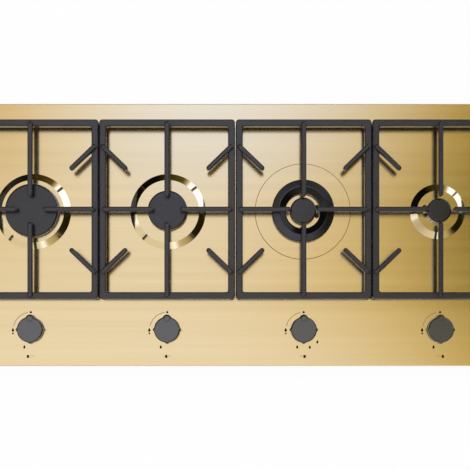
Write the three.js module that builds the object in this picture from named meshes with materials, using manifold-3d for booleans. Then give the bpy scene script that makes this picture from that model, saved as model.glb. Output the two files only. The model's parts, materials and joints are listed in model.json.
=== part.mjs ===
// Built-in gas cooktop: four burners in line under cast-iron pan supports, on a brushed sheet-metal top.
// Millimetres, +Z up, +X to the user's right, +Y to the rear. The origin is under the middle of the
// whole part, level with the bottom of the casing, and the worktop that carries the part is 50 mm higher.
import * as THREE from 'three';
import { mergeVertices } from 'three/addons/utils/BufferGeometryUtils.js';
import Module from 'manifold-3d';

// ---------------------------------------------------------------- driving dimensions
const GAP = 0.3; // clearance between pieces that touch

// sheet top
const SHEET_WIDTH = 1120;
const SHEET_DEPTH = 510;
const SHEET_THICKNESS = 1.5;
const SHEET_ROLL = 4; // radius of the rolled edge
const SHEET_CORNER = 8;
const WORKTOP_Z = 50; // the worktop's surface
const SHEET_TOP = 54.5;

// worktop seal and bottom casing
const SEAL_WIDTH = 6;
const SEAL_INSET = 5; // from the sheet's edge to the seal
const CASING_WIDTH = 1076;
const CASING_DEPTH = 466;
const CASING_WALL = 1.2;
const CASING_FLANGE = 8;
const CASING_CORNER = 10;
const NOTCH_WIDTH = 72; // rear corners, cut back for the gas inlet and the cable gland
const NOTCH_DEPTH = 46;
const NOTCH_WALL_Y = CASING_DEPTH / 2 - NOTCH_DEPTH;
const NOTCH_HOLE_RADIUS = 11.5;
const VENT_LENGTH = 70;
const VENT_WIDTH = 6;
const VENT_PITCH = 16;
const VENT_Y = 150;
const CLAMP_LENGTH = 24;

// rows and pitches
const BURNER_Y = 45.2;
const BURNER_PITCH = 261.9;
const KNOB_Y = -184.7;
const KNOB_PITCH = 265.3;

// pan supports, heights above the sheet
const SUPPORT_WIDTH = 260.2;
const SUPPORT_DEPTH = 346;
const SUPPORT_BAR = 12.4;
const SUPPORT_BAR_LOW = 18;
const SUPPORT_BAR_TOP = 31;
const SUPPORT_CORNER = 8;
const FINGER_TOP = 45;
const FINGER_WIDTH = 8.8;
const FINGER_TIP_RADIUS = 27.5; // burner axis to a cross finger's tip
const FINGER_END_INSET = 4.5; // frame's outer edge to a finger's outer end
const FINGER_TIP_LOW = 33; // underside of a finger at its tip
const FINGER_ROOT_LOW = 21; // underside of a finger at the frame
const DIAGONAL_WIDTH = 8.4;
const DIAGONAL_TIP = [78, 78];
const DIAGONAL_END = [125.8, 123];
const FOOT_TOP_RADIUS = 5.8;
const FOOT_RADIUS = 4.6;

// burners: one entry for each, left to right; heights are above the sheet
const BEZEL_RISE = 7;
const BEZEL_THICKNESS = 1.2;
const PLATE_TOP = 1.5; // top of the flat plate under the dual burner
const CUP_LIP = 0.6; // rise of a cup's neck above its bezel or plate
const CUP_BOTTOM = -37;
const CUP_PORT_Z = -29;
const CUP_PORT_RADIUS = 6;
const CUP_PORT_REACH = 8; // from a cup's wall to the end of its gas port
const CROWN_WALL = 4;
const CAP_LOW = 20;
const CAP_TOP = 25.5;
const BURNERS = [
  { name: 'rapid', place: -1.5, head: 49.6, cap: 51, slots: 12, neck: 35.5, wall: 33,
    bezel: 73.2, plateau: 60.5, plugs: 45.8, plugTurn: 205, segments: 24 },
  { name: 'semi_rapid', place: -0.5, head: 37, cap: 38, slots: 10, neck: 24.5, wall: 22,
    bezel: 73.2, plateau: 60.5, plugs: 33.4, plugTurn: 205, segments: 20 },
  { name: 'dual', place: 0.5, head: 24, cap: 25.2, slots: 8, neck: 17, wall: 15,
    plate: 93, plugs: 28.6, plugTurn: 0, segments: 16 },
  { name: 'auxiliary', place: 1.5, head: 22.4, cap: 23.2, slots: 8, neck: 16, wall: 14,
    bezel: 53.3, plateau: 40.2, plugs: 27, plugTurn: 180, segments: 16 },
];
const PLUG_HOLE = 4.2;
const PLUG_MARGIN = 3; // from a plug's hole to the edge of the sheet's opening
const PLUG_SPREAD = 18; // degrees from the middle of the pair to the spark plug or the thermocouple
const DUAL_RING_OUTER = 59.6;
const DUAL_RING_INNER = 35;
const DUAL_RING_TOP = 12.7;
const DUAL_RING_SLOTS = 12;
const DUAL_RING_SEGMENTS = 24;
const DUAL_INNER_LOW = 16.6; // underside and top of the inner cap
const DUAL_INNER_TOP = 21;
const DUAL_CUP_RADIUS = 53;
const DUAL_FEED_CIRCLE = 46.5; // circle of the three tubes that feed the outer ring
const DUAL_FEED_RADIUS = 6;
const DUAL_PORTS = [-14, 20]; // gas ports of the inner head and of the ring, right of the burner's axis
const DUAL_PORT_END = 48; // in front of the burner's axis

// taps, spindles and knobs; heights are above the sheet
const SPINDLE_RADIUS = 4;
const SPINDLE_FLAT = 3; // axis to the flat of the D-shaped spindle
const SPINDLE_LOW = -24;
const SPINDLE_TOP = 12.5;
const SPINDLE_HOLE = 6.5;
const TAP_RADIUS = 13;
const TAP_LOW = -40;
const TAP_TOP = -12;
const TAP_OUTLET_Z = -31;
const TAP_INLET_REACH = 22.5; // in front of the spindle's axis
const TAP_OUTLET_REACH = 21; // behind it
const DUAL_OUTLETS = [-7.5, 7.5]; // the dual burner's tap has an outlet for each ring
const KNOB_RADIUS = 25;
const KNOB_LOW = 4.2;
const KNOB_TOP = 16;
const KNOB_LOBE_RADIUS = 8.5;
const KNOB_LOBE_CENTRE = 21;
const KNOB_POINT_RADIUS = 28.5;
const KNOB_POINT_HALF_WIDTH = 3.6;
const KNOB_SAMPLES = 40;

// gas rail and pipes
const RAIL_RADIUS = 8;
const RAIL_Y = KNOB_Y - 31;
const RAIL_Z = -27;
const RAIL_HEIGHT = SHEET_TOP + RAIL_Z; // above the casing's bottom
const RAIL_BEND = 24;
const RAIL_FEED_X = 503; // the rail's rearward run, to the inlet
const INLET_RADIUS = 10.5;
const PIPE_RADIUS = 3.2;

// ---------------------------------------------------------------- solids
const wasm = await Module();
wasm.setup();

function signedVolume(position, triangles) {
  const [a, b, c] = [new THREE.Vector3(), new THREE.Vector3(), new THREE.Vector3()];
  let sum = 0;
  for (const [i, j, k] of triangles) {
    a.fromBufferAttribute(position, i);
    b.fromBufferAttribute(position, j);
    c.fromBufferAttribute(position, k);
    sum += a.dot(b.cross(c)) / 6;
  }
  return sum;
}

// Turns a closed geometry into a solid that can be cut and joined, with its faces pointing out.
function solid(geometry) {
  const bare = geometry.clone();
  bare.deleteAttribute('normal');
  bare.deleteAttribute('uv');
  const merged = mergeVertices(bare, 1e-4);
  const { position } = merged.attributes;
  const triangles = [];
  for (let i = 0; i < merged.index.count; i += 3) {
    const corners = [merged.index.getX(i), merged.index.getX(i + 1), merged.index.getX(i + 2)];
    if (new Set(corners).size === 3) triangles.push(corners);
  }
  if (signedVolume(position, triangles) < 0) triangles.forEach((corners) => corners.reverse());
  return new wasm.Manifold(new wasm.Mesh({
    numProp: 3,
    vertProperties: new Float32Array(position.array),
    triVerts: new Uint32Array(triangles.flat()),
  }));
}

function geometryOf(body) {
  const mesh = body.getMesh();
  const geometry = new THREE.BufferGeometry();
  geometry.setAttribute('position', new THREE.BufferAttribute(new Float32Array(mesh.vertProperties), 3));
  geometry.setIndex(new THREE.BufferAttribute(new Uint32Array(mesh.triVerts), 1));
  geometry.computeVertexNormals();
  return geometry;
}

// Revolves a profile of [radius, height] points about the Z axis.
function turned(profile, segments) {
  const geometry = new THREE.LatheGeometry(profile.map(([r, z]) => new THREE.Vector2(r, z)), segments);
  geometry.rotateX(Math.PI / 2);
  return solid(geometry);
}

function turnedRing(profile, segments) {
  return turned([...profile, profile[0]], segments);
}

// Raises a shape from one height to another. Each of its arcs becomes arcSteps straight lines.
function slab(shape, low, high, arcSteps = 4) {
  const geometry = new THREE.ExtrudeGeometry(shape, {
    depth: high - low,
    bevelEnabled: false,
    curveSegments: arcSteps / 2,
  });
  geometry.translate(0, 0, low);
  return solid(geometry);
}

// A slab whose top edge is chamfered, or rounded with more bevel steps.
function easedSlab(shape, low, high, size, bevelSteps = 1, arcSteps = 4) {
  const geometry = new THREE.ExtrudeGeometry(shape, {
    depth: high - low,
    bevelThickness: size,
    bevelSize: size,
    bevelOffset: -size,
    bevelSegments: bevelSteps,
    curveSegments: arcSteps / 2,
  });
  geometry.translate(0, 0, low - size);
  const reach = 2000;
  return solid(geometry).subtract(box([-reach, -reach, low - 2 * size - 1], [reach, reach, low]));
}

function box(low, high) {
  const size = high.map((value, i) => value - low[i]);
  const geometry = new THREE.BoxGeometry(...size);
  geometry.translate(...low.map((value, i) => value + size[i] / 2));
  return solid(geometry);
}

// A round bar between two points, tapering where the radii differ.
function bar(from, to, radius, sides = 12, endRadius = radius) {
  const start = new THREE.Vector3(...from);
  const along = new THREE.Vector3(...to).sub(start);
  const geometry = new THREE.CylinderGeometry(endRadius, radius, along.length(), sides);
  const turn = new THREE.Quaternion().setFromUnitVectors(
    new THREE.Vector3(0, 1, 0),
    along.clone().normalize(),
  );
  geometry.applyQuaternion(turn);
  geometry.translate(...start.addScaledVector(along, 0.5));
  return solid(geometry);
}

// A round bar along a smooth curve through the points.
function bentBar(points, radius, sides, steps) {
  const path = new THREE.CatmullRomCurve3(points.map((point) => new THREE.Vector3(...point)));
  const section = new THREE.Shape().absarc(0, 0, radius, 0, 2 * Math.PI);
  const geometry = new THREE.ExtrudeGeometry(section, {
    steps,
    extrudePath: path,
    curveSegments: sides / 2,
  });
  return solid(geometry);
}

function join(...bodies) {
  return bodies.reduce((whole, body) => whole.add(body));
}

function cut(body, ...tools) {
  return tools.reduce((rest, tool) => rest.subtract(tool), body);
}

// Copies of a solid, turned about the Z axis and joined.
function aroundAxis(body, count, firstDegrees = 0) {
  const copies = [];
  for (let i = 0; i < count; i += 1) {
    copies.push(body.rotate([0, 0, firstDegrees + (360 * i) / count]));
  }
  return join(...copies);
}

function roundedRectangle(width, depth, radius) {
  const [x, y] = [width / 2 - radius, depth / 2 - radius];
  const shape = new THREE.Shape();
  shape.absarc(x, y, radius, 0, Math.PI / 2);
  shape.absarc(-x, y, radius, Math.PI / 2, Math.PI);
  shape.absarc(-x, -y, radius, Math.PI, 1.5 * Math.PI);
  shape.absarc(x, -y, radius, 1.5 * Math.PI, 2 * Math.PI);
  shape.closePath();
  return shape;
}

function polar(radius, degrees) {
  const angle = THREE.MathUtils.degToRad(degrees);
  return [radius * Math.cos(angle), radius * Math.sin(angle)];
}

// ---------------------------------------------------------------- scene graph
const cooktop = new THREE.Group();
cooktop.name = 'gas_cooktop';

const FINISHES = {
  brushedBrass: [0xd9c08a, 0.35, 1],
  polishedBrass: [0xe2c88e, 0.08, 1],
  castIron: [0x424340, 0.7, 0.1],
  enamel: [0x3f3f3e, 0.55, 0],
  aluminium: [0xc8c8c4, 0.4, 1],
  gunmetal: [0x5c5e60, 0.4, 0.8],
  galvanised: [0xa8acae, 0.5, 1],
  brassFitting: [0xb28f3e, 0.35, 1],
  ceramic: [0xebe7dd, 0.3, 0],
  copper: [0xb46a46, 0.35, 1],
  foam: [0x1e1e1e, 0.95, 0],
  blackPlastic: [0x2b2b2d, 0.5, 0],
};

function place(parent, name, body, finish) {
  const [color, roughness, metalness] = FINISHES[finish];
  const material = new THREE.MeshStandardMaterial({ color, roughness, metalness });
  const mesh = new THREE.Mesh(geometryOf(body), material);
  mesh.name = name;
  parent.add(mesh);
}

function station(x, y) {
  const group = new THREE.Group();
  group.position.set(x, y, SHEET_TOP);
  cooktop.add(group);
  return group;
}

// ---------------------------------------------------------------- sheet top, seal and casing
function plugPlaces(burner) {
  return [
    polar(burner.plugs, burner.plugTurn + PLUG_SPREAD),
    polar(burner.plugs, burner.plugTurn - PLUG_SPREAD),
  ];
}

function hole(x, y, radius, segments) {
  return bar([x, y, WORKTOP_Z - 10], [x, y, SHEET_TOP + 10], radius, segments);
}

// The pressed sheet, rolled down at its edges. The bezels and the plate cover its burner openings.
function topPanel() {
  const outside = roundedRectangle(SHEET_WIDTH, SHEET_DEPTH, SHEET_CORNER);
  const inside = roundedRectangle(
    SHEET_WIDTH - 2 * SHEET_THICKNESS,
    SHEET_DEPTH - 2 * SHEET_THICKNESS,
    SHEET_CORNER - SHEET_THICKNESS,
  );
  const low = WORKTOP_Z + GAP;
  let panel = cut(
    easedSlab(outside, low, SHEET_TOP, SHEET_ROLL, 2, 2),
    easedSlab(inside, low - 1, SHEET_TOP - SHEET_THICKNESS, SHEET_ROLL - SHEET_THICKNESS, 1, 2),
  );
  for (const burner of BURNERS) {
    const opening = burner.plate ? DUAL_CUP_RADIUS + 1 : burner.plugs + PLUG_HOLE + PLUG_MARGIN;
    panel = cut(
      panel,
      hole(burner.place * BURNER_PITCH, BURNER_Y, opening, 16),
      hole(burner.place * KNOB_PITCH, KNOB_Y, SPINDLE_HOLE, 8),
    );
  }
  return panel;
}

function worktopSeal() {
  const width = SHEET_WIDTH - 2 * SEAL_INSET;
  const depth = SHEET_DEPTH - 2 * SEAL_INSET;
  const strip = roundedRectangle(width, depth, 4);
  strip.holes.push(roundedRectangle(width - 2 * SEAL_WIDTH, depth - 2 * SEAL_WIDTH, 2));
  return slab(strip, WORKTOP_Z, SHEET_TOP - SHEET_THICKNESS - GAP, 2);
}

// The casing's outline, seen from above: a rectangle whose rear corners are cut back.
function casingOutline(grow) {
  const x = CASING_WIDTH / 2 + grow;
  const y = CASING_DEPTH / 2 + grow;
  const notchX = CASING_WIDTH / 2 - NOTCH_WIDTH + grow;
  const notchY = NOTCH_WALL_Y + grow;
  const radius = CASING_CORNER + grow;
  const outline = new THREE.Shape();
  outline.moveTo(-x, notchY);
  outline.lineTo(-x, -y + radius);
  outline.absarc(-x + radius, -y + radius, radius, Math.PI, 1.5 * Math.PI);
  outline.absarc(x - radius, -y + radius, radius, 1.5 * Math.PI, 2 * Math.PI);
  outline.lineTo(x, notchY);
  outline.lineTo(notchX, notchY);
  outline.lineTo(notchX, y);
  outline.lineTo(-notchX, y);
  outline.lineTo(-notchX, notchY);
  outline.closePath();
  return outline;
}

// A folded tray with a flange all round under the sheet, and vents in its floor.
function bottomCasing() {
  const top = SHEET_TOP - SHEET_THICKNESS - GAP;
  const shell = join(
    slab(casingOutline(0), 0, top),
    slab(casingOutline(CASING_FLANGE), top - CASING_WALL, top),
  );
  const hollow = slab(casingOutline(-CASING_WALL), CASING_WALL, top + 1);
  const holes = [RAIL_FEED_X, -RAIL_FEED_X].map((x) => (
    bar([x, NOTCH_WALL_Y - 8, RAIL_HEIGHT], [x, NOTCH_WALL_Y + 8, RAIL_HEIGHT], NOTCH_HOLE_RADIUS, 12)
  ));
  const slot = new THREE.Shape();
  const straight = (VENT_LENGTH - VENT_WIDTH) / 2;
  slot.absarc(0, straight, VENT_WIDTH / 2, 0, Math.PI);
  slot.absarc(0, -straight, VENT_WIDTH / 2, Math.PI, 2 * Math.PI);
  slot.closePath();
  const vent = slab(slot, -1, CASING_WALL + 1, 3);
  let casing = cut(shell, hollow, ...holes);
  for (const column of [-1, 1]) {
    for (const step of [-1, 0, 1]) {
      casing = cut(casing, vent.translate([column * BURNER_PITCH + step * VENT_PITCH, VENT_Y, 0]));
    }
  }
  return casing;
}

place(cooktop, 'top_panel', topPanel(), 'brushedBrass');
place(cooktop, 'worktop_seal', worktopSeal(), 'foam');
place(cooktop, 'bottom_casing', bottomCasing(), 'galvanised');

// An angle strip at each end pulls the casing down against the underside of the worktop.
function worktopClamp(side) {
  const wall = CASING_WIDTH / 2 + GAP;
  const profile = new THREE.Shape();
  profile.moveTo(wall, 8);
  profile.lineTo(wall + 20, 8);
  profile.lineTo(wall + 20, 10);
  profile.lineTo(wall + 2, 10);
  profile.lineTo(wall + 2, 44);
  profile.lineTo(wall, 44);
  profile.closePath();
  const strip = new THREE.ExtrudeGeometry(profile, { depth: CLAMP_LENGTH, bevelEnabled: false });
  strip.rotateX(Math.PI / 2);
  strip.translate(0, CLAMP_LENGTH / 2, 0);
  if (side < 0) strip.rotateZ(Math.PI);
  return solid(strip);
}

place(cooktop, 'worktop_clamp_left', worktopClamp(-1), 'galvanised');
place(cooktop, 'worktop_clamp_right', worktopClamp(1), 'galvanised');

// ---------------------------------------------------------------- burners
// A pressed disc: a polished cone that rises from the sheet to a flat, brushed plateau.
function bezel(burner) {
  const opening = burner.neck + 0.8;
  const disc = turnedRing([
    [opening, BEZEL_RISE - BEZEL_THICKNESS],
    [burner.plateau - 0.6, BEZEL_RISE - BEZEL_THICKNESS],
    [burner.bezel - 2, GAP],
    [burner.bezel, GAP],
    [burner.plateau, BEZEL_RISE],
    [opening, BEZEL_RISE],
  ], 24);
  return cut(disc, ...plugPlaces(burner).map(([x, y]) => bar([x, y, 0], [x, y, 9], PLUG_HOLE, 6)));
}

// The flat disc under the dual burner, with holes for the ring's three feeds and for the plugs.
function dualPlate(burner) {
  const disc = turnedRing([
    [burner.neck + 0.8, GAP],
    [burner.plate, GAP],
    [burner.plate, PLATE_TOP - 0.4],
    [burner.plate - 0.6, PLATE_TOP],
    [burner.neck + 0.8, PLATE_TOP],
  ], 24);
  const feed = bar([DUAL_FEED_CIRCLE, 0, 0], [DUAL_FEED_CIRCLE, 0, 3], DUAL_FEED_RADIUS + 0.6, 6);
  const plugHoles = plugPlaces(burner).map(([x, y]) => bar([x, y, 0], [x, y, 3], PLUG_HOLE, 6));
  return cut(disc, aroundAxis(feed, 3, 90), ...plugHoles);
}

// The cup carries the head on its rim. Its flange is screwed up against the bezel, gas enters by the
// port at its front, and the injector stands in its floor.
function singleCup(burner) {
  const { neck, wall } = burner;
  const flangeTop = BEZEL_RISE - BEZEL_THICKNESS - GAP;
  const cup = turned([
    [0, CUP_BOTTOM],
    [12, CUP_BOTTOM],
    [wall, -16],
    [wall, flangeTop - 2.4],
    [neck + 5, flangeTop - 2.4],
    [neck + 5, flangeTop],
    [neck, flangeTop],
    [neck, BEZEL_RISE + CUP_LIP],
    [neck - 2, BEZEL_RISE + CUP_LIP],
    [wall - 2, -14],
    [9, -32],
    [0, -32],
  ], 14);
  const injector = bar([0, 0, -33], [0, 0, -22], 3.5, 6, 2.5);
  const port = bar([0, -11, CUP_PORT_Z], [0, -wall - CUP_PORT_REACH, CUP_PORT_Z], CUP_PORT_RADIUS, 8);
  return join(cup, injector, port);
}

// The dual burner's cup is one casting: a neck for the inner head and three tubes for the outer ring.
function dualCup(burner) {
  const { neck } = burner;
  const body = turned([
    [0, CUP_BOTTOM],
    [18, CUP_BOTTOM],
    [DUAL_CUP_RADIUS, -20],
    [DUAL_CUP_RADIUS, -8],
    [neck, -8],
    [neck, PLATE_TOP + CUP_LIP],
    [neck - 2, PLATE_TOP + CUP_LIP],
    [neck - 2, -22],
    [0, -24],
  ], 14);
  const feed = bar([DUAL_FEED_CIRCLE, 0, -12], [DUAL_FEED_CIRCLE, 0, PLATE_TOP], DUAL_FEED_RADIUS, 6);
  const bore = bar([DUAL_FEED_CIRCLE, 0, -14], [DUAL_FEED_CIRCLE, 0, 3], DUAL_FEED_RADIUS - 1.5, 6);
  const ports = DUAL_PORTS.map((x) => (
    bar([x, -16, CUP_PORT_Z], [x, -DUAL_PORT_END, CUP_PORT_Z], CUP_PORT_RADIUS, 8)
  ));
  const injector = bar([0, 0, -25], [0, 0, -17], 3.5, 6, 2.5);
  const plugWays = plugPlaces(burner).map(([x, y]) => bar([x, y, CUP_BOTTOM - 3], [x, y, 0], 6.2, 6));
  const casting = join(body, injector, aroundAxis(feed, 3, 90), ...ports);
  return cut(casting, aroundAxis(bore, 3, 90), ...plugWays);
}

// Slots through the head's wall, open at the top: the flame ports.
function flamePorts(radius, low, top, width, slots) {
  const slot = box([radius - 9, -width / 2, low], [radius + 2, width / 2, top + 1]);
  return aroundAxis(slot, slots, 90 / slots);
}

// A crown: a spigot that drops into the cup's neck, a floor, and an outer wall with the flame ports.
function crown(burner, seat, top) {
  const { head, neck } = burner;
  const spigot = neck - 3.4;
  const body = turnedRing([
    [spigot - 2.4, seat - 3],
    [spigot, seat - 3],
    [spigot, seat],
    [head - 2, seat],
    [head, seat + 2],
    [head, top],
    [head - CROWN_WALL, top],
    [head - CROWN_WALL, seat + 3.4],
    [spigot - 2.4, seat + 3.4],
  ], burner.segments);
  const slotLow = seat + (top - seat) * 0.5;
  const ports = flamePorts(head, slotLow, top, 2.4, burner.slots);
  const recesses = plugPlaces(burner).map(([x, y]) => bar([x, y, seat - 1], [x, y, top + 1], PLUG_HOLE, 6));
  return cut(body, ports, ...recesses);
}

// The dual burner's outer crown: a channel that gas fills from three feeds.
function dualRingHead() {
  const seat = PLATE_TOP + GAP;
  const body = turnedRing([
    [DUAL_RING_INNER, seat],
    [DUAL_RING_OUTER - 2, seat],
    [DUAL_RING_OUTER, seat + 2],
    [DUAL_RING_OUTER, DUAL_RING_TOP],
    [DUAL_RING_OUTER - CROWN_WALL, DUAL_RING_TOP],
    [DUAL_RING_OUTER - CROWN_WALL, seat + 3],
    [DUAL_RING_INNER + CROWN_WALL, seat + 3],
    [DUAL_RING_INNER + CROWN_WALL, DUAL_RING_TOP],
    [DUAL_RING_INNER, DUAL_RING_TOP],
  ], DUAL_RING_SEGMENTS);
  const feed = bar([DUAL_FEED_CIRCLE, 0, 0], [DUAL_FEED_CIRCLE, 0, 6], DUAL_FEED_RADIUS - 1.5, 6);
  return cut(
    body,
    flamePorts(DUAL_RING_OUTER, 7, DUAL_RING_TOP, 2.6, DUAL_RING_SLOTS),
    aroundAxis(feed, 3, 90),
  );
}

// An enamelled lid with a step underneath that centres it in the crown.
function cap(burner, low, top) {
  const radius = burner.cap;
  const centring = burner.head - CROWN_WALL - GAP;
  return turned([
    [0, low - 1.6],
    [centring, low - 1.6],
    [centring, low],
    [radius, low],
    [radius, top - 1.4],
    [radius - 1.5, top - 0.2],
    [0, top],
  ], burner.segments);
}

// The ring's lid slopes down to the inner head, so that its crest stands near the outside.
function dualRingCap() {
  const low = DUAL_RING_TOP + GAP;
  return turnedRing([
    [33.9, low],
    [33.9, 14.4],
    [45.8, 19.8],
    [48.4, 19.9],
    [59, 17.2],
    [60.3, 16],
    [60.3, low],
    [DUAL_RING_OUTER - CROWN_WALL - GAP, low],
    [DUAL_RING_OUTER - CROWN_WALL - GAP, low - 1.6],
    [DUAL_RING_INNER + CROWN_WALL + GAP, low - 1.6],
    [DUAL_RING_INNER + CROWN_WALL + GAP, low],
  ], DUAL_RING_SEGMENTS);
}

// A ceramic rod in a steel collar under the sheet, with the electrode's wire on top.
function sparkPlug(top) {
  return turned([
    [0, -24],
    [3.1, -20],
    [3.1, -9.5],
    [5, -9.5],
    [5, -2 - GAP],
    [3.1, -2 - GAP],
    [3.1, top - 4],
    [1, top - 3],
    [1, top],
    [0, top],
  ], 6);
}

// The probe that shuts the gas off when its flame goes out: a thick foot and a thin tip.
function thermocouple(top) {
  return turned([
    [0, -18],
    [4.6, -11],
    [4.6, -2 - GAP],
    [2.6, -2 - GAP],
    [2.6, top - 5],
    [1.7, top - 4],
    [1.7, top - 0.6],
    [0, top],
  ], 6);
}

for (const burner of BURNERS) {
  const { name } = burner;
  const group = station(burner.place * BURNER_PITCH, BURNER_Y);
  const seat = (burner.plate ? PLATE_TOP : BEZEL_RISE) + CUP_LIP + GAP;
  const capLow = burner.plate ? DUAL_INNER_LOW : CAP_LOW;
  const capTop = burner.plate ? DUAL_INNER_TOP : CAP_TOP;
  if (burner.plate) {
    place(group, 'dual_burner_plate', dualPlate(burner), 'brushedBrass');
    place(group, 'burner_cup_dual', dualCup(burner), 'aluminium');
    place(group, 'burner_ring_dual', dualRingHead(), 'aluminium');
    place(group, 'burner_ring_cap_dual', dualRingCap(), 'enamel');
  } else {
    place(group, `bezel_${name}`, bezel(burner), 'polishedBrass');
    place(group, `burner_cup_${name}`, singleCup(burner), 'aluminium');
  }
  place(group, `burner_head_${name}`, crown(burner, seat, capLow - GAP), 'aluminium');
  place(group, `burner_cap_${name}`, cap(burner, capLow, capTop), 'enamel');
  const plugTop = capLow - 2;
  const [spark, probe] = plugPlaces(burner);
  place(group, `spark_plug_${name}`, sparkPlug(plugTop).translate([...spark, 0]), 'ceramic');
  place(group, `thermocouple_${name}`, thermocouple(plugTop).translate([...probe, 0]), 'copper');
}

// ---------------------------------------------------------------- pan supports
// A finger lies along +X: rounded at both ends, flat on top, its underside rising towards the tip.
function finger(tip, end, width, rootAt) {
  const radius = width / 2;
  const outline = new THREE.Shape();
  outline.absarc(end - radius, 0, radius, -Math.PI / 2, Math.PI / 2);
  outline.absarc(tip + radius, 0, radius, Math.PI / 2, 1.5 * Math.PI);
  outline.closePath();
  const blank = slab(outline, SUPPORT_BAR_LOW, FINGER_TOP, 3);
  const relief = new THREE.Shape();
  relief.moveTo(tip - 5, SUPPORT_BAR_LOW - 5);
  relief.lineTo(rootAt, SUPPORT_BAR_LOW - 5);
  relief.lineTo(rootAt, FINGER_ROOT_LOW);
  relief.lineTo(tip, FINGER_TIP_LOW);
  relief.lineTo(tip - 5, FINGER_TIP_LOW);
  relief.closePath();
  const tool = new THREE.ExtrudeGeometry(relief, { depth: width + 4, bevelEnabled: false });
  tool.rotateX(Math.PI / 2);
  tool.translate(0, radius + 2, 0);
  return cut(blank, solid(tool));
}

// A cast frame with four cross fingers, four diagonal fingers in its corners and a foot under each.
function panSupport() {
  const frame = roundedRectangle(SUPPORT_WIDTH, SUPPORT_DEPTH, SUPPORT_CORNER);
  const inner = [SUPPORT_WIDTH - 2 * SUPPORT_BAR, SUPPORT_DEPTH - 2 * SUPPORT_BAR];
  const outside = easedSlab(frame, SUPPORT_BAR_LOW, SUPPORT_BAR_TOP, 1.2, 1, 4);
  const opening = slab(roundedRectangle(...inner, 4), SUPPORT_BAR_LOW - 1, SUPPORT_BAR_TOP + 1, 2);
  const pieces = [cut(outside, opening)];
  const reach = [SUPPORT_WIDTH / 2, SUPPORT_DEPTH / 2];
  for (const turn of [0, 90, 180, 270]) {
    const side = reach[(turn / 90) % 2];
    const cross = finger(FINGER_TIP_RADIUS, side - FINGER_END_INSET, FINGER_WIDTH, side - SUPPORT_BAR);
    pieces.push(cross.rotate([0, 0, turn]));
  }
  const run = new THREE.Vector2(...DIAGONAL_END).sub(new THREE.Vector2(...DIAGONAL_TIP));
  const diagonal = finger(0, run.length(), DIAGONAL_WIDTH, run.length() - 14)
    .rotate([0, 0, THREE.MathUtils.radToDeg(run.angle())])
    .translate([...DIAGONAL_TIP, 0]);
  for (const mirror of [[1, 1], [-1, 1], [-1, -1], [1, -1]]) {
    const [x, y] = mirror;
    const foot = bar([0, 0, GAP], [0, 0, SUPPORT_BAR_LOW + 2], FOOT_RADIUS, 6, FOOT_TOP_RADIUS);
    pieces.push(diagonal.scale([x, y, 1]));
    pieces.push(foot.translate([
      x * (reach[0] - SUPPORT_BAR / 2),
      y * (reach[1] - SUPPORT_BAR / 2),
      0,
    ]));
  }
  return join(...pieces);
}

const support = panSupport();
for (const burner of BURNERS) {
  place(station(burner.place * BURNER_PITCH, BURNER_Y), `pan_support_${burner.name}`, support, 'castIron');
}

// ---------------------------------------------------------------- taps, spindles and knobs
// The D section of the spindle, or of the socket that it fits, with the flat towards the front.
function dSection(grow) {
  const radius = SPINDLE_RADIUS + grow;
  const half = Math.acos((SPINDLE_FLAT + grow) / radius);
  const section = new THREE.Shape();
  section.absarc(0, 0, radius, -Math.PI / 2 + half, 1.5 * Math.PI - half);
  section.closePath();
  return section;
}

// A brass casting with a tapered bore, an inlet towards the rail and an outlet for each pipe.
function tapBody(outlets) {
  const shell = turned([
    [0, TAP_LOW],
    [TAP_RADIUS, TAP_LOW],
    [TAP_RADIUS, TAP_TOP],
    [0, TAP_TOP],
  ], 8);
  const cover = slab(roundedRectangle(38, 28, 6), TAP_TOP - 3, TAP_TOP, 2);
  const inlet = bar([0, -8, RAIL_Z], [0, -TAP_INLET_REACH, RAIL_Z], 6, 6);
  const ways = outlets.map((x) => (
    bar([x, 4, TAP_OUTLET_Z], [x, TAP_OUTLET_REACH, TAP_OUTLET_Z], 4.6, 6)
  ));
  const bore = bar([0, 0, TAP_LOW - 1], [0, 0, TAP_TOP - 4], 7, 10, 8.6);
  const neck = bar([0, 0, TAP_TOP - 5], [0, 0, TAP_TOP + 1], SPINDLE_RADIUS + 0.8, 8);
  return cut(join(shell, cover, inlet, ...ways), bore, neck);
}

// The tapered plug that opens the ways as it turns, with a D socket that the spindle slides in.
function tapPlug() {
  const plug = bar([0, 0, TAP_LOW + 2], [0, 0, TAP_TOP - 4.5], 6.1, 12, 7.6);
  const socket = slab(dSection(GAP), -31, TAP_TOP, 6);
  const gasWay = bar([0, -9, TAP_OUTLET_Z - 3.5], [0, 9, TAP_OUTLET_Z - 3.5], 2, 8);
  return cut(plug, socket, gasWay);
}

// The rod slides in the plug when the knob is pushed, and turns it.
function spindle() {
  return slab(dSection(0), SPINDLE_LOW, SPINDLE_TOP, 6);
}

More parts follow.
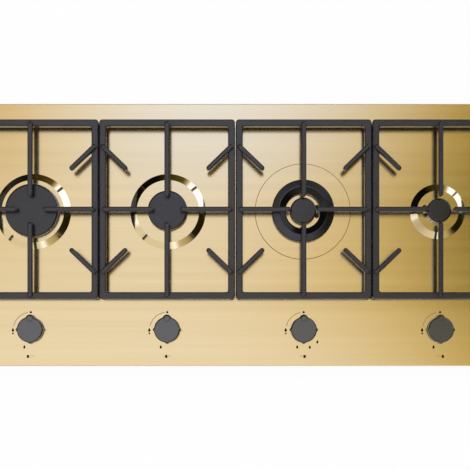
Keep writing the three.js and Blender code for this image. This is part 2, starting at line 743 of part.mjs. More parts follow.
// The knob's outline: a circle with a round lobe that points at the setting, and three small points.
function knobOutline() {
  const outline = [];
  const quarter = Math.PI / 2;
  for (let i = 0; i < KNOB_SAMPLES; i += 1) {
    const angle = (2 * Math.PI * i) / KNOB_SAMPLES;
    const fromLobe = Math.min(Math.abs(angle - quarter), Math.abs(angle - 5 * quarter));
    const offset = KNOB_LOBE_CENTRE * Math.sin(fromLobe);
    let radius = KNOB_RADIUS;
    if (fromLobe < quarter && offset < KNOB_LOBE_RADIUS) {
      const chord = Math.sqrt(KNOB_LOBE_RADIUS ** 2 - offset ** 2);
      radius = Math.max(radius, KNOB_LOBE_CENTRE * Math.cos(fromLobe) + chord);
    }
    const toPoint = Math.abs(angle - Math.round(angle / quarter) * quarter) * KNOB_RADIUS;
    if (fromLobe > 1 && toPoint < KNOB_POINT_HALF_WIDTH) {
      const rise = 1 - toPoint / KNOB_POINT_HALF_WIDTH;
      radius += (KNOB_POINT_RADIUS - KNOB_RADIUS) * rise;
    }
    outline.push(new THREE.Vector2(radius * Math.cos(angle), radius * Math.sin(angle)));
  }
  return new THREE.Shape(outline);
}

// The knob is pressed onto its spindle, whose end it hides.
function knob() {
  const body = easedSlab(knobOutline(), KNOB_LOW, KNOB_TOP, 1.2);
  const socket = slab(dSection(GAP), KNOB_LOW - 1, SPINDLE_TOP + GAP, 6);
  return cut(body, socket);
}

for (const burner of BURNERS) {
  const { name } = burner;
  const group = station(burner.place * KNOB_PITCH, KNOB_Y);
  place(group, `tap_body_${name}`, tapBody(burner.plate ? DUAL_OUTLETS : [0]), 'brassFitting');
  place(group, `tap_plug_${name}`, tapPlug(), 'brassFitting');
  place(group, `spindle_${name}`, spindle(), 'galvanised');
  place(group, `knob_${name}`, knob(), 'gunmetal');
}

// ---------------------------------------------------------------- gas rail, pipes and electrics
// A tube along the front, with a boss for each tap, that bends back along the right side to the inlet.
function gasRail() {
  const left = -1.5 * KNOB_PITCH - 24;
  const turnX = RAIL_FEED_X - RAIL_BEND;
  const turnY = RAIL_Y + RAIL_BEND;
  const across = bar([left, RAIL_Y, RAIL_HEIGHT], [turnX, RAIL_Y, RAIL_HEIGHT], RAIL_RADIUS, 8);
  const alongEnd = NOTCH_WALL_Y - 14;
  const along = bar([RAIL_FEED_X, turnY, RAIL_HEIGHT], [RAIL_FEED_X, alongEnd, RAIL_HEIGHT], RAIL_RADIUS, 8);
  const corner = bentBar([
    [turnX - 1, RAIL_Y, RAIL_HEIGHT],
    [RAIL_FEED_X - RAIL_BEND * 0.5, RAIL_Y + RAIL_BEND * 0.13, RAIL_HEIGHT],
    [RAIL_FEED_X - RAIL_BEND * 0.13, RAIL_Y + RAIL_BEND * 0.5, RAIL_HEIGHT],
    [RAIL_FEED_X, turnY + 1, RAIL_HEIGHT],
  ], RAIL_RADIUS, 8, 4);
  const bossEnd = KNOB_Y - TAP_INLET_REACH - GAP;
  const bosses = BURNERS.map(({ place: at }) => (
    bar([at * KNOB_PITCH, RAIL_Y, RAIL_HEIGHT], [at * KNOB_PITCH, bossEnd, RAIL_HEIGHT], 7, 6)
  ));
  return join(across, along, corner, ...bosses);
}

// The threaded stub that the gas supply is screwed to, and its hexagon inside the casing.
function gasInlet() {
  const end = CASING_DEPTH / 2;
  const at = (y) => [RAIL_FEED_X, y, RAIL_HEIGHT];
  const hexagon = bar(at(NOTCH_WALL_Y - 14 + GAP), at(NOTCH_WALL_Y - 3), 14, 6);
  const stub = bar(at(NOTCH_WALL_Y - 4), at(end - 4), INLET_RADIUS, 14);
  const bore = bar(at(NOTCH_WALL_Y - 2), at(end), INLET_RADIUS - 3.5, 10);
  return cut(join(hexagon, stub), bore);
}

// A bent pipe from a tap's outlet to a cup's port, sagging between them.
function burnerPipe(fromX, toX, toY) {
  const startY = KNOB_Y + TAP_OUTLET_REACH + GAP;
  const startZ = SHEET_TOP + TAP_OUTLET_Z;
  const endZ = SHEET_TOP + CUP_PORT_Z;
  const reach = toY - startY;
  const side = toX >= fromX ? 1 : -1;
  return bentBar([
    [fromX, startY, startZ],
    [fromX, startY + 12, startZ],
    [fromX + side * 10, startY + reach * 0.35, startZ - 6],
    [toX + side * 10, startY + reach * 0.65, endZ - 6],
    [toX, toY - 12, endZ],
    [toX, toY, endZ],
  ], PIPE_RADIUS, 6, 10);
}

place(cooktop, 'gas_rail', gasRail(), 'galvanised');
place(cooktop, 'gas_inlet', gasInlet(), 'brassFitting');
for (const burner of BURNERS) {
  const knobX = burner.place * KNOB_PITCH;
  const burnerX = burner.place * BURNER_PITCH;
  if (burner.plate) {
    const portY = BURNER_Y - DUAL_PORT_END - GAP;
    const [inner, outer] = [0, 1].map((i) => (
      burnerPipe(knobX + DUAL_OUTLETS[i], burnerX + DUAL_PORTS[i], portY)
    ));
    place(cooktop, 'gas_pipe_dual_inner', inner, 'aluminium');
    place(cooktop, 'gas_pipe_dual_outer', outer, 'aluminium');
  } else {
    const portY = BURNER_Y - burner.wall - CUP_PORT_REACH - GAP;
    place(cooktop, `gas_pipe_${burner.name}`, burnerPipe(knobX, burnerX, portY), 'aluminium');
  }
}

// The spark generator stands on the casing's floor, with one lead post for each burner.
function ignitionGenerator() {
  const floor = CASING_WALL + GAP;
  const block = slab(roundedRectangle(78, 40, 3), floor, floor + 28, 2);
  const posts = BURNERS.map(({ place: at }) => bar([at * 17, -18, 17], [at * 17, -29, 17], 3, 6));
  const feet = box([-48, -8, floor], [48, 8, floor + 2]);
  return join(block, feet, ...posts).translate([0, 195, 0]);
}

// The box where the mains lead ends, with the gland that the lead comes in by.
function terminalBox() {
  const wall = NOTCH_WALL_Y - CASING_WALL;
  const at = (y) => [-RAIL_FEED_X, wall + y, RAIL_HEIGHT];
  const block = slab(roundedRectangle(56, 44, 3), 10, 44, 2).translate([-RAIL_FEED_X, wall - 23, 0]);
  const gland = bar(at(-4), at(16), 9, 12);
  const cableWay = bar(at(-12), at(20), 4, 8);
  return cut(join(block, gland), cableWay);
}

place(cooktop, 'ignition_generator', ignitionGenerator(), 'blackPlastic');
place(cooktop, 'terminal_box', terminalBox(), 'blackPlastic');

export default cooktop;
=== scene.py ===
import json
import math

import bmesh
import bpy
from mathutils import Matrix, Vector


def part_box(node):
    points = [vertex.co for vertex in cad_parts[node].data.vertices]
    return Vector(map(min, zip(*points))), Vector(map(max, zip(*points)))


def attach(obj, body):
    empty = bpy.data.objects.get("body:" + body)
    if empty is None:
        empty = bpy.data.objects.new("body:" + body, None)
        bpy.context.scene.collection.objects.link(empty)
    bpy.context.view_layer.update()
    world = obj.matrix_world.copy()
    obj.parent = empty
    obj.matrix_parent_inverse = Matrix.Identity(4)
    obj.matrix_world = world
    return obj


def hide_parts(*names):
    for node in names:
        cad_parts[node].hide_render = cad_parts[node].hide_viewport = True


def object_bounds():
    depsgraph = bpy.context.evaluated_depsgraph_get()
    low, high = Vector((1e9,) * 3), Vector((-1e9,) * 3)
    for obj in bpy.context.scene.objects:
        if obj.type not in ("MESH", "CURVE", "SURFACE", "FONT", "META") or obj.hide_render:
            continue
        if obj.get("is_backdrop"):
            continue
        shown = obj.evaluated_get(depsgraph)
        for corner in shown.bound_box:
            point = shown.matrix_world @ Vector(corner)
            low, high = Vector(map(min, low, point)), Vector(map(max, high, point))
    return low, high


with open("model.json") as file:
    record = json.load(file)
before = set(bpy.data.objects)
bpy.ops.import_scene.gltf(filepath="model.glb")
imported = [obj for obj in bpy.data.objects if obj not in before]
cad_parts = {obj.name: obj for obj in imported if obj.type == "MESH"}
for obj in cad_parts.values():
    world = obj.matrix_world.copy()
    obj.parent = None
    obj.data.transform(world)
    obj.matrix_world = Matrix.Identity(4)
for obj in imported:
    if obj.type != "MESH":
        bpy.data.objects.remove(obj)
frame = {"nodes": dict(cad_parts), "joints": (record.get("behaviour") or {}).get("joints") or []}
cad_box = [list(corner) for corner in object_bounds()]


# ---------------------------------------- the photograph's view
# A camera straight above the front edge, looking down, with the picture shifted to the rear, as a
# product photographer keeps upright pieces from leaning.
scene = bpy.context.scene
mm = 0.001
sheet_low, sheet_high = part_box("top_panel")
sheet_top = sheet_high.z
camera_height = 2.5
camera_from_front_edge = 16.5 * mm
camera_data = bpy.data.cameras.new("plan_camera")
camera_data.sensor_width = 36
camera_data.lens = 98.45
camera_data.shift_x = -0.00085
camera_data.shift_y = 0.2607
camera = bpy.data.objects.new("plan_camera", camera_data)
camera.location = (0, sheet_low.y + camera_from_front_edge, sheet_top + camera_height)
scene.collection.objects.link(camera)
scene.camera = camera
scene.view_settings.view_transform = "Standard"


# ---------------------------------------- the studio round the part
# A room of light: a broad white ceiling, cool at the rear, that turns warm and dims to the right,
# over dim walls with a band of lit panels and dark gaps, which the polished cones mirror.
def socket_or_value(tree, socket, value):
    if isinstance(value, (int, float)):
        socket.default_value = value
    elif isinstance(value, tuple):
        socket.default_value = (*value, 1) if len(socket.default_value) == 4 else value
    elif value is not None:
        tree.links.new(value, socket)


def calc(tree, operation, first, second=None, third=None):
    made = tree.nodes.new("ShaderNodeMath")
    made.operation = operation
    for socket, value in zip(made.inputs, (first, second, third)):
        socket_or_value(tree, socket, value)
    return made.outputs[0]


def ramp_of(tree, factor, stops):
    ramp = tree.nodes.new("ShaderNodeValToRGB")
    elements = ramp.color_ramp.elements
    while len(elements) < len(stops):
        elements.new(0.5)
    for element, (position, colour) in zip(elements, stops):
        element.position = position
        element.color = (*colour, 1) if isinstance(colour, tuple) else (colour, colour, colour, 1)
    tree.links.new(factor, ramp.inputs["Fac"])
    return ramp.outputs["Color"]


def mix_of(tree, factor, first, second, blend="MIX"):
    made = tree.nodes.new("ShaderNodeMix")
    made.data_type = "RGBA"
    made.blend_type = blend
    socket_or_value(tree, made.inputs[0], factor)
    socket_or_value(tree, made.inputs[6], first)
    socket_or_value(tree, made.inputs[7], second)
    return made.outputs[2]


def remapped(tree, value, low, high, start=0.0, end=1.0, course="LINEAR"):
    """Runs from start, where the value is low, to end, where it is high."""
    made = tree.nodes.new("ShaderNodeMapRange")
    made.interpolation_type = course
    for name, number in zip(("From Min", "From Max", "To Min", "To Max"), (low, high, start, end)):
        made.inputs[name].default_value = number
    tree.links.new(value, made.inputs["Value"])
    return made.outputs[0]


def eased_step(tree, value, low, high):
    return remapped(tree, value, low, high, course="SMOOTHSTEP")


world = bpy.data.worlds.new("studio")
world.use_nodes = True
scene.world = world
tree = world.node_tree
direction = tree.nodes.new("ShaderNodeTexCoord").outputs["Generated"]
split = tree.nodes.new("ShaderNodeSeparateXYZ")
tree.links.new(direction, split.inputs[0])
east, north, up = split.outputs
# Where a ray meets the ceiling: across runs from left to right, 0.5 overhead, and back to the rear.
rise = calc(tree, "MAXIMUM", up, 0.05)
across = calc(tree, "MULTIPLY_ADD", calc(tree, "DIVIDE", east, rise), 1.5, 0.5)
back = calc(tree, "DIVIDE", north, rise)
front = calc(tree, "SUBTRACT", 1.0, eased_step(tree, back, -0.02, 0.07))
rear = eased_step(tree, back, 0.09, 0.20)
across = calc(tree, "MULTIPLY_ADD", front, -0.18, across)
fall_off = ramp_of(tree, calc(tree, "MULTIPLY_ADD", rear, -0.10, across), [
    (0.40, (0.90, 0.87, 0.90)),
    (0.50, (0.86, 0.78, 0.70)),
    (0.58, (0.78, 0.65, 0.36)),
    (0.68, (0.55, 0.41, 0.05)),
    (0.76, (0.19, 0.15, 0.00)),
    (0.88, (0.01, 0.01, 0.00)),
])
ceiling = mix_of(tree, front, fall_off, (1.10, 1.15, 1.30), "MULTIPLY")
past_glow = eased_step(tree, across, 0.45, 0.78)
cool_glow = calc(tree, "SUBTRACT", eased_step(tree, across, 0.25, 0.45), past_glow)
ceiling = mix_of(tree, calc(tree, "MULTIPLY", rear, cool_glow), ceiling, (0.96, 1.18, 2.05))
warm_corner = calc(tree, "SUBTRACT", 1.0, eased_step(tree, across, 0.21, 0.30))
ceiling = mix_of(tree, calc(tree, "MULTIPLY", rear, warm_corner), ceiling, (0.68, 0.50, 0.18))
far_off = eased_step(tree, calc(tree, "ABSOLUTE", back), 0.24, 0.50)
ceiling = mix_of(tree, far_off, ceiling, (0.90, 0.98, 1.20))
turn = calc(tree, "ARCTAN2", north, east)
share = calc(tree, "ADD", calc(tree, "DIVIDE", turn, 2 * math.pi), 0.5)
walls = ramp_of(tree, share, [
    (0.000, (0.90, 0.85, 0.75)),
    (0.030, (1.30, 1.35, 1.40)),
    (0.055, (0.80, 0.72, 0.55)),
    (0.250, (0.78, 0.70, 0.52)),
    (0.275, (1.30, 1.35, 1.40)),
    (0.300, (0.62, 0.52, 0.32)),
    (0.350, (0.46, 0.38, 0.18)),
    (0.395, (0.014, 0.011, 0.001)),
    (0.508, (0.014, 0.011, 0.001)),
    (0.518, (1.40, 1.50, 1.75)),
    (0.658, (1.40, 1.50, 1.75)),
    (0.674, (0.55, 0.43, 0.25)),
    (0.692, (0.09, 0.07, 0.015)),
    (0.760, (0.035, 0.027, 0.003)),
    (0.800, (0.004, 0.003, 0.002)),
    (0.975, (0.004, 0.003, 0.002)),
    (1.000, (0.90, 0.85, 0.75)),
])
band = ramp_of(tree, up, [(0.33, 0.0), (0.39, 1.0), (0.70, 1.0), (0.75, 0.0)])
room = mix_of(tree, band, (0.09, 0.085, 0.08), walls)
room = mix_of(tree, eased_step(tree, up, 0.78, 0.90), room, ceiling)
path = tree.nodes.new("ShaderNodeLightPath")
seen = mix_of(tree, path.outputs["Is Camera Ray"], room, (1.0, 1.0, 1.0))
tree.links.new(seen, tree.nodes["Background"].inputs["Color"])

# The lamps are large, soft and out of the metal's sight: one overhead, a little to the rear, and
# two low ones, in front and at the left, for the casing. All of them point at the origin.
for name, place, size, power in (
    ("overhead_softbox", (-0.25, 0.75, 2.6), 1.6, 34),
    ("front_fill", (0.9, -2.6, 1.1), 1.8, 26),
    ("left_fill", (-2.6, 0.6, 0.9), 1.6, 16),
):
    lamp = bpy.data.lights.new(name, "AREA")
    lamp.size = size
    lamp.energy = power
    box = bpy.data.objects.new(name, lamp)
    box.location = place
    box.rotation_euler = (-Vector(place)).to_track_quat("-Z", "Y").to_euler()
    box.visible_camera = False
    box.visible_glossy = False
    scene.collection.objects.link(box)

# The floor is plain white paper: the lens and mirrors see it lit, and it keeps the part's shadow.
half = 6.0
corners = [(x * half, y * half, 0) for x, y in ((-1, -1), (1, -1), (1, 1), (-1, 1))]
mesh = bpy.data.meshes.new("floor")
mesh.from_pydata(corners, [], [(0, 1, 2, 3)])
floor = bpy.data.objects.new("floor", mesh)
scene.collection.objects.link(floor)
paper = bpy.data.materials.new("floor_paper")
paper.use_nodes = True
tree = paper.node_tree
shader = tree.nodes["Principled BSDF"]
shader.inputs["Base Color"].default_value = (0.85, 0.85, 0.85, 1)
shader.inputs["Roughness"].default_value = 0.9
glow = tree.nodes.new("ShaderNodeEmission")
path = tree.nodes.new("ShaderNodeLightPath")
seen = calc(tree, "MAXIMUM", path.outputs["Is Camera Ray"], path.outputs["Is Glossy Ray"])
seen = calc(tree, "MAXIMUM", seen, path.outputs["Is Transmission Ray"])
mixed = tree.nodes.new("ShaderNodeMixShader")
tree.links.new(calc(tree, "MULTIPLY", seen, 0.96), mixed.inputs[0])
tree.links.new(shader.outputs[0], mixed.inputs[1])
tree.links.new(glow.outputs[0], mixed.inputs[2])
tree.links.new(mixed.outputs[0], tree.nodes["Material Output"].inputs["Surface"])
mesh.materials.append(paper)
floor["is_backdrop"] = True


# ---------------------------------------- the brushed sheet top
# One pressed sheet of brass-coloured steel, brushed from left to right, its edge rolled down to the
# worktop. It is blanked with a round opening for each burner and a small one for each spindle.
burner_names = ["rapid", "semi_rapid", "dual", "auxiliary"]
brass = (0.865, 0.695, 0.375)


def principled(name, colour, metallic=0.0, roughness=0.5, specular=0.5):
    made = bpy.data.materials.new(name)
    made.use_nodes = True
    shader = made.node_tree.nodes["Principled BSDF"]
    shader.inputs["Base Color"].default_value = (*colour, 1)
    shader.inputs["Metallic"].default_value = metallic
    shader.inputs["Roughness"].default_value = roughness
    shader.inputs["Specular IOR Level"].default_value = specular
    return made, made.node_tree, shader


def noise_of(tree, scale, detail=4.0, rough=0.5, stretch=(1.0, 1.0, 1.0)):
    place = tree.nodes.new("ShaderNodeTexCoord").outputs["Object"]
    mapping = tree.nodes.new("ShaderNodeMapping")
    mapping.inputs["Scale"].default_value = stretch
    tree.links.new(place, mapping.inputs["Vector"])
    noise = tree.nodes.new("ShaderNodeTexNoise")
    noise.inputs["Scale"].default_value = scale
    noise.inputs["Detail"].default_value = detail
    noise.inputs["Roughness"].default_value = rough
    tree.links.new(mapping.outputs[0], noise.inputs["Vector"])
    return noise.outputs["Fac"]


def tinted(tree, shader, pattern, darker, lighter, low=0.3, high=0.7):
    tone = ramp_of(tree, pattern, [(low, darker), (high, lighter)])
    tree.links.new(tone, shader.inputs["Base Color"])


def glossed(tree, shader, pattern, low, high):
    roughness = remapped(tree, pattern, 0.3, 0.7, low, high)
    tree.links.new(roughness, shader.inputs["Roughness"])


def bumped(tree, shader, pattern, strength, distance):
    bump = tree.nodes.new("ShaderNodeBump")
    bump.inputs["Strength"].default_value = strength
    bump.inputs["Distance"].default_value = distance
    tree.links.new(pattern, bump.inputs["Height"])
    tree.links.new(bump.outputs[0], shader.inputs["Normal"])


def scaled(colour, factor):
    return tuple(min(1.0, factor * part) for part in colour)


brushed_brass, tree, shader = principled("brushed_brass", brass, 1.0)
shader.inputs["Anisotropic"].default_value = 0.35
hairline = noise_of(tree, 1.0, 6.0, 0.7, (2.5, 900.0, 900.0))
streak = noise_of(tree, 1.0, 3.0, 0.5, (0.8, 60.0, 60.0))
grain = calc(tree, "MULTIPLY_ADD", streak, 0.6, calc(tree, "MULTIPLY", hairline, 0.4))
tinted(tree, shader, grain, scaled(brass, 0.955), scaled(brass, 1.03), 0.38, 0.62)
glossed(tree, shader, grain, 0.135, 0.17)
bumped(tree, shader, hairline, 0.05, 0.0002)
tangent = tree.nodes.new("ShaderNodeTangent")
tangent.direction_type = "UV_MAP"
tangent.uv_map = "grain"
tree.links.new(tangent.outputs[0], shader.inputs["Tangent"])
# Seen aslant, fine brushing scatters light, so the sheet stays bright where it mirrors a dim wall.
slant = tree.nodes.new("ShaderNodeLayerWeight")
slant.inputs["Blend"].default_value = 0.5
scatter = remapped(tree, slant.outputs["Facing"], 0.08, 0.35, 1.0, 0.4)
tree.links.new(scatter, shader.inputs["Metallic"])


def lay_grain(piece):
    """A UV map in metres whose first axis crosses the brushing, for the gloss to spread along."""
    mesh = piece.data
    grain = mesh.uv_layers.new(name="grain")
    for loop in mesh.loops:
        point = mesh.vertices[loop.vertex_index].co
        grain.data[loop.index].uv = (point.y + point.z, -point.x)


def piece_from(name, bm, *finishes):
    bmesh.ops.remove_doubles(bm, verts=bm.verts, dist=1e-6)
    bmesh.ops.recalc_face_normals(bm, faces=bm.faces)
    mesh = bpy.data.meshes.new(name)
    bm.to_mesh(mesh)
    bm.free()
    for finish in finishes:
        mesh.materials.append(finish)
    piece = bpy.data.objects.new(name, mesh)
    scene.collection.objects.link(piece)
    return piece


def settled(piece):
    """Makes a piece's modifiers plain mesh."""
    bpy.context.view_layer.update()
    evaluated = piece.evaluated_get(bpy.context.evaluated_depsgraph_get())
    mesh = bpy.data.meshes.new_from_object(evaluated)
    old = piece.data
    piece.modifiers.clear()
    piece.data = mesh
    bpy.data.meshes.remove(old)
    return piece


def smoothed(piece, bevel=0.0, steps=2, bevel_angle=35, sharp_angle=40):
    """Eases a piece's edges, then smooths it so that its level faces mirror as flat ones do."""
    if bevel:
        ease = piece.modifiers.new("eased_edges", "BEVEL")
        ease.limit_method = "ANGLE"
        ease.angle_limit = math.radians(bevel_angle)
        ease.width = bevel
        ease.segments = steps
        settled(piece)
    piece.data.shade_smooth()
    piece.data.set_sharp_from_angle(angle=math.radians(sharp_angle))
    levels = {}
    for face in piece.data.polygons:
        for key in face.edge_keys:
            levels.setdefault(key, set()).add(abs(face.normal.z) > 0.9999)
    for edge in piece.data.edges:
        if len(levels.get(edge.key, ())) > 1:
            edge.use_edge_sharp = True
    weighted = piece.modifiers.new("weighted", "WEIGHTED_NORMAL")
    weighted.keep_sharp = True
    weighted.weight = 100
    return settled(piece)


def boolean(piece, tool, operation="DIFFERENCE"):
    modifier = piece.modifiers.new("cut", "BOOLEAN")
    modifier.operation = operation
    modifier.solver = "EXACT"
    modifier.object = tool
    settled(piece)
    bpy.data.objects.remove(tool)
    return piece


def rounded_rectangle(half_x, half_y, radius, steps):
    points = []
    for quarter, (x, y) in enumerate([(1, 1), (-1, 1), (-1, -1), (1, -1)]):
        for step in range(steps + 1):
            angle = math.pi / 2 * (quarter + step / steps)
            across = x * (half_x - radius) + radius * math.cos(angle)
            points.append((across, y * (half_y - radius) + radius * math.sin(angle)))
    return points


def loop_of(bm, points, height):
    return [bm.verts.new((x, y, height)) for x, y in points]


def bridged(bm, *loops):
    for lower, upper in zip(loops, loops[1:]):
        for i in range(len(lower)):
            j = (i + 1) % len(lower)
            bm.faces.new((lower[i], lower[j], upper[j], upper[i]))


def cylinders(name, places, low, high, segments=48):
    """Round tools for cutting: each place is (x, y, radius)."""
    bm = bmesh.new()
    for x, y, radius in places:
        made = bmesh.ops.create_cone(
            bm, cap_ends=True, segments=segments, radius1=radius, radius2=radius, depth=high - low
        )
        bmesh.ops.translate(bm, verts=made["verts"], vec=(x, y, (low + high) / 2))
    return piece_from(name, bm)


def middle(node):
    low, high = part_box(node)
    return (low + high) / 2


burner_axis = {name: middle(f"burner_cap_{name}") for name in burner_names}
knob_axis = {
    joint["name"].removesuffix("_tap_turn"): Vector(joint["pos_m"])
    for joint in frame["joints"]
    if joint["name"].endswith("_tap_turn")
}
sheet_thickness = 1.5 * mm
sheet_roll = 1.6 * mm
sheet_corner = 8 * mm
spindle_opening = 6.5 * mm
probe_clearance = 7.2 * mm
cup_clearance = 1 * mm


def sheet_skin(bm, roll, inset, top, steps):
    """The skin of a tray turned upside down: a wall, a rolled edge and a flat top."""
    half_x = sheet_high.x - inset
    half_y = sheet_high.y - inset
    corner = sheet_corner - inset
    loops = [loop_of(bm, rounded_rectangle(half_x, half_y, corner, 5), sheet_low.z)]
    for step in range(steps + 1):
        angle = math.pi / 2 * step / steps
        drawn = roll * (1 - math.cos(angle))
        outline = rounded_rectangle(half_x - drawn, half_y - drawn, corner - drawn, 5)
        loops.append(loop_of(bm, outline, top - roll + roll * math.sin(angle)))
    bridged(bm, *loops)
    bm.faces.new(loops[-1])
    return loops[0]


bm = bmesh.new()
outer_rim = sheet_skin(bm, sheet_roll, 0, sheet_top, 8)
inner_roll, underside = sheet_roll - sheet_thickness, sheet_top - sheet_thickness
inner_rim = sheet_skin(bm, inner_roll, sheet_thickness, underside, 4)
bridged(bm, outer_rim, inner_rim)
sheet = piece_from("top_sheet", bm, brushed_brass)
openings = []
for name in burner_names:
    axis = burner_axis[name]
    opening = (middle(f"spark_plug_{name}") - axis).xy.length + probe_clearance
    if name == "dual":
        low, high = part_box("burner_cup_dual")
        opening = (high.x - low.x) / 2 + cup_clearance
    openings.append((axis.x, axis.y, opening))
    openings.append((knob_axis[name].x, knob_axis[name].y, spindle_opening))
boolean(sheet, cylinders("openings", openings, sheet_top - 0.01, sheet_top + 0.01, 64))
smoothed(sheet)
lay_grain(sheet)
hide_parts("top_panel")
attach(sheet, "root")


# ---------------------------------------- printed marks
# Small marks in black enamel, fired on the sheet round each knob: an off dot, an arc to the large
# flame, the small flame, and a row of squares that shows which burner the knob works.
def mottled(
    name, darker, lighter, scale, detail=4.0, rough=0.5, spread=0.2, gloss=None, relief=None, **values
):
    """A finish whose tone, gloss and relief wander together, as casting or handling leaves it."""
    finish, tree, shader = principled(name, lighter, **values)
    pattern = noise_of(tree, scale, detail, rough)
    tinted(tree, shader, pattern, darker, lighter, 0.5 - spread, 0.5 + spread)
    if gloss:
        glossed(tree, shader, pattern, *gloss)
    if relief:
        bumped(tree, shader, pattern, *relief)
    return finish


marks_ink = mottled(
    "marks_ink", (0.002, 0.001, 0.001), (0.004, 0.003, 0.002), 900.0, roughness=0.6, specular=0.0
)
arc_ink = mottled("arc_ink", (0.28, 0.18, 0.08), (0.34, 0.23, 0.11), 900.0)
ink_thickness = 0.06 * mm


def printed(bm, outline, centre, ink=0):
    """A flat mark of enamel on the sheet; its outline is in millimetres from centre."""
    points = [(centre.x + x * mm, centre.y + y * mm) for x, y in outline]
    low = loop_of(bm, points, sheet_top)
    high = loop_of(bm, points, sheet_top + ink_thickness)
    bridged(bm, low, high)
    bm.faces.new(high)
    bm.faces.new(list(reversed(low)))
    for vertex in low + high:
        for face in vertex.link_faces:
            face.material_index = ink


def disc_outline(x, y, radius, sides=20):
    turns = [2 * math.pi * i / sides for i in range(sides)]
    return [(x + radius * math.cos(turn), y + radius * math.sin(turn)) for turn in turns]


def flame_outline(x, y, width, height, sides=24):
    """A drop, round below and pointed above."""
    outline = []
    for i in range(sides):
        turn = 2 * math.pi * i / sides
        swell = math.sin(turn) * math.sin(turn / 2) ** 1.3
        outline.append((x - 0.56 * width * swell, y + 0.5 * height * math.cos(turn)))
    return outline


def arc_outline(radius, width, first, last, steps=40):
    turns = [math.radians(first + (last - first) * i / steps) for i in range(steps + 1)]
    outline = []
    for reach, way in ((radius + width / 2, turns), (radius - width / 2, turns[::-1])):
        outline += [(reach * math.cos(turn), reach * math.sin(turn)) for turn in way]
    return outline


def square_outline(x, y, width, height):
    return [
        (x + side * width / 2, y + end * height / 2)
        for side, end in ((-1, -1), (1, -1), (1, 1), (-1, 1))
    ]


square_pitch, square_row = 3.75, -51.3
bm = bmesh.new()
for number, name in enumerate(burner_names):
    centre = knob_axis[name]
    printed(bm, disc_outline(0.1, 34.4, 2.2), centre)  # off
    printed(bm, arc_outline(34.2, 1.2, 100, 167), centre, 1)
    printed(bm, flame_outline(-34.8, 0.2, 5.6, 7.8), centre)  # large flame and its spark dot
    printed(bm, disc_outline(-34.7, -6.9, 1.7), centre)
    printed(bm, flame_outline(-12.5, -32.8, 5.2, 7.0), centre)  # small flame
    if name == "dual":
        printed(bm, flame_outline(12.1, -33.2, 5.2, 6.8), centre)
        printed(bm, flame_outline(26.8, -23.0, 5.0, 6.6), centre)
    for square in range(4):
        x = square_pitch * (square - 1.5)
        if square == number:
            printed(bm, square_outline(x, square_row - 0.4, 4.2, 5.6), centre)
        else:
            for outline in (
                square_outline(x, square_row + 1.6, 3.0, 0.3),
                square_outline(x, square_row - 1.6, 3.0, 0.3),
                square_outline(x - 1.5, square_row, 0.3, 2.9),
                square_outline(x + 1.5, square_row, 0.3, 2.9),
            ):
                printed(bm, outline, centre, 1)
marks = piece_from("printed_marks", bm, marks_ink, arc_ink)
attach(marks, "root")


# ---------------------------------------- worktop seal
# A strip of black closed-cell foam between the sheet's underside and the worktop, cut to a frame
# and stuck down when the cooktop is fitted.
foam = mottled(
    "seal_foam", (0.010, 0.010, 0.010), (0.028, 0.028, 0.028), 1500.0, 2.0,
    relief=(0.5, 0.0004), roughness=0.95,
)
strip = frame["nodes"]["worktop_seal"].data
strip.materials.clear()
strip.materials.append(foam)


# ---------------------------------------- bottom casing and worktop clamps
# A tray of galvanised steel hangs under the sheet and closes the works in. Its rear corners are cut
# back for the gas inlet and the cable gland, and an angle strip at each end grips the worktop.
def stands_for(piece, node, body):
    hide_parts(node)
    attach(piece, body)


def merged_copy(node, title, finish, body, bevel=0.0, sharp_angle=40):
    """Stands for a CAD node in its own form, its flat faces made whole and its edges eased."""
    bm = bmesh.new()
    bm.from_mesh(frame["nodes"][node].data)
    bmesh.ops.remove_doubles(bm, verts=bm.verts, dist=1e-6)
    bmesh.ops.dissolve_limit(bm, angle_limit=math.radians(0.5), verts=bm.verts, edges=bm.edges)
    piece = smoothed(piece_from(title, bm, finish), bevel, sharp_angle=sharp_angle)
    stands_for(piece, node, body)


zinc = (0.62, 0.64, 0.65)
galvanised, tree, shader = principled("galvanised_steel", zinc, 1.0, 0.45)
place = tree.nodes.new("ShaderNodeTexCoord").outputs["Object"]
spangle = tree.nodes.new("ShaderNodeTexVoronoi")
spangle.inputs["Scale"].default_value = 90.0
tree.links.new(place, spangle.inputs["Vector"])
flakes = tree.nodes.new("ShaderNodeSeparateColor")
tree.links.new(spangle.outputs["Color"], flakes.inputs[0])
tinted(tree, shader, flakes.outputs[0], scaled(zinc, 0.86), scaled(zinc, 1.08), 0.0, 1.0)
glossed(tree, shader, flakes.outputs[1], 0.36, 0.52)
bumped(tree, shader, noise_of(tree, 300.0), 0.12, 0.0003)
for node, title in (
    ("bottom_casing", "casing_tray"),
    ("worktop_clamp_left", "clamp_strip_left"),
    ("worktop_clamp_right", "clamp_strip_right"),
):
    merged_copy(node, title, galvanised, "root", 0.4 * mm)


# ---------------------------------------- gas rail, inlet and pipes
# The rail is zinc-plated steel tube bent once at the right; it carries the taps and ends in a brass
# inlet. Soft aluminium pipes run from the taps to the burners' cups.
def worn_metal(name, darker, lighter, gloss, scale, detail=4.0, rough=0.5, spread=0.2):
    return mottled(name, darker, lighter, scale, detail, rough, spread, gloss, metallic=1.0)


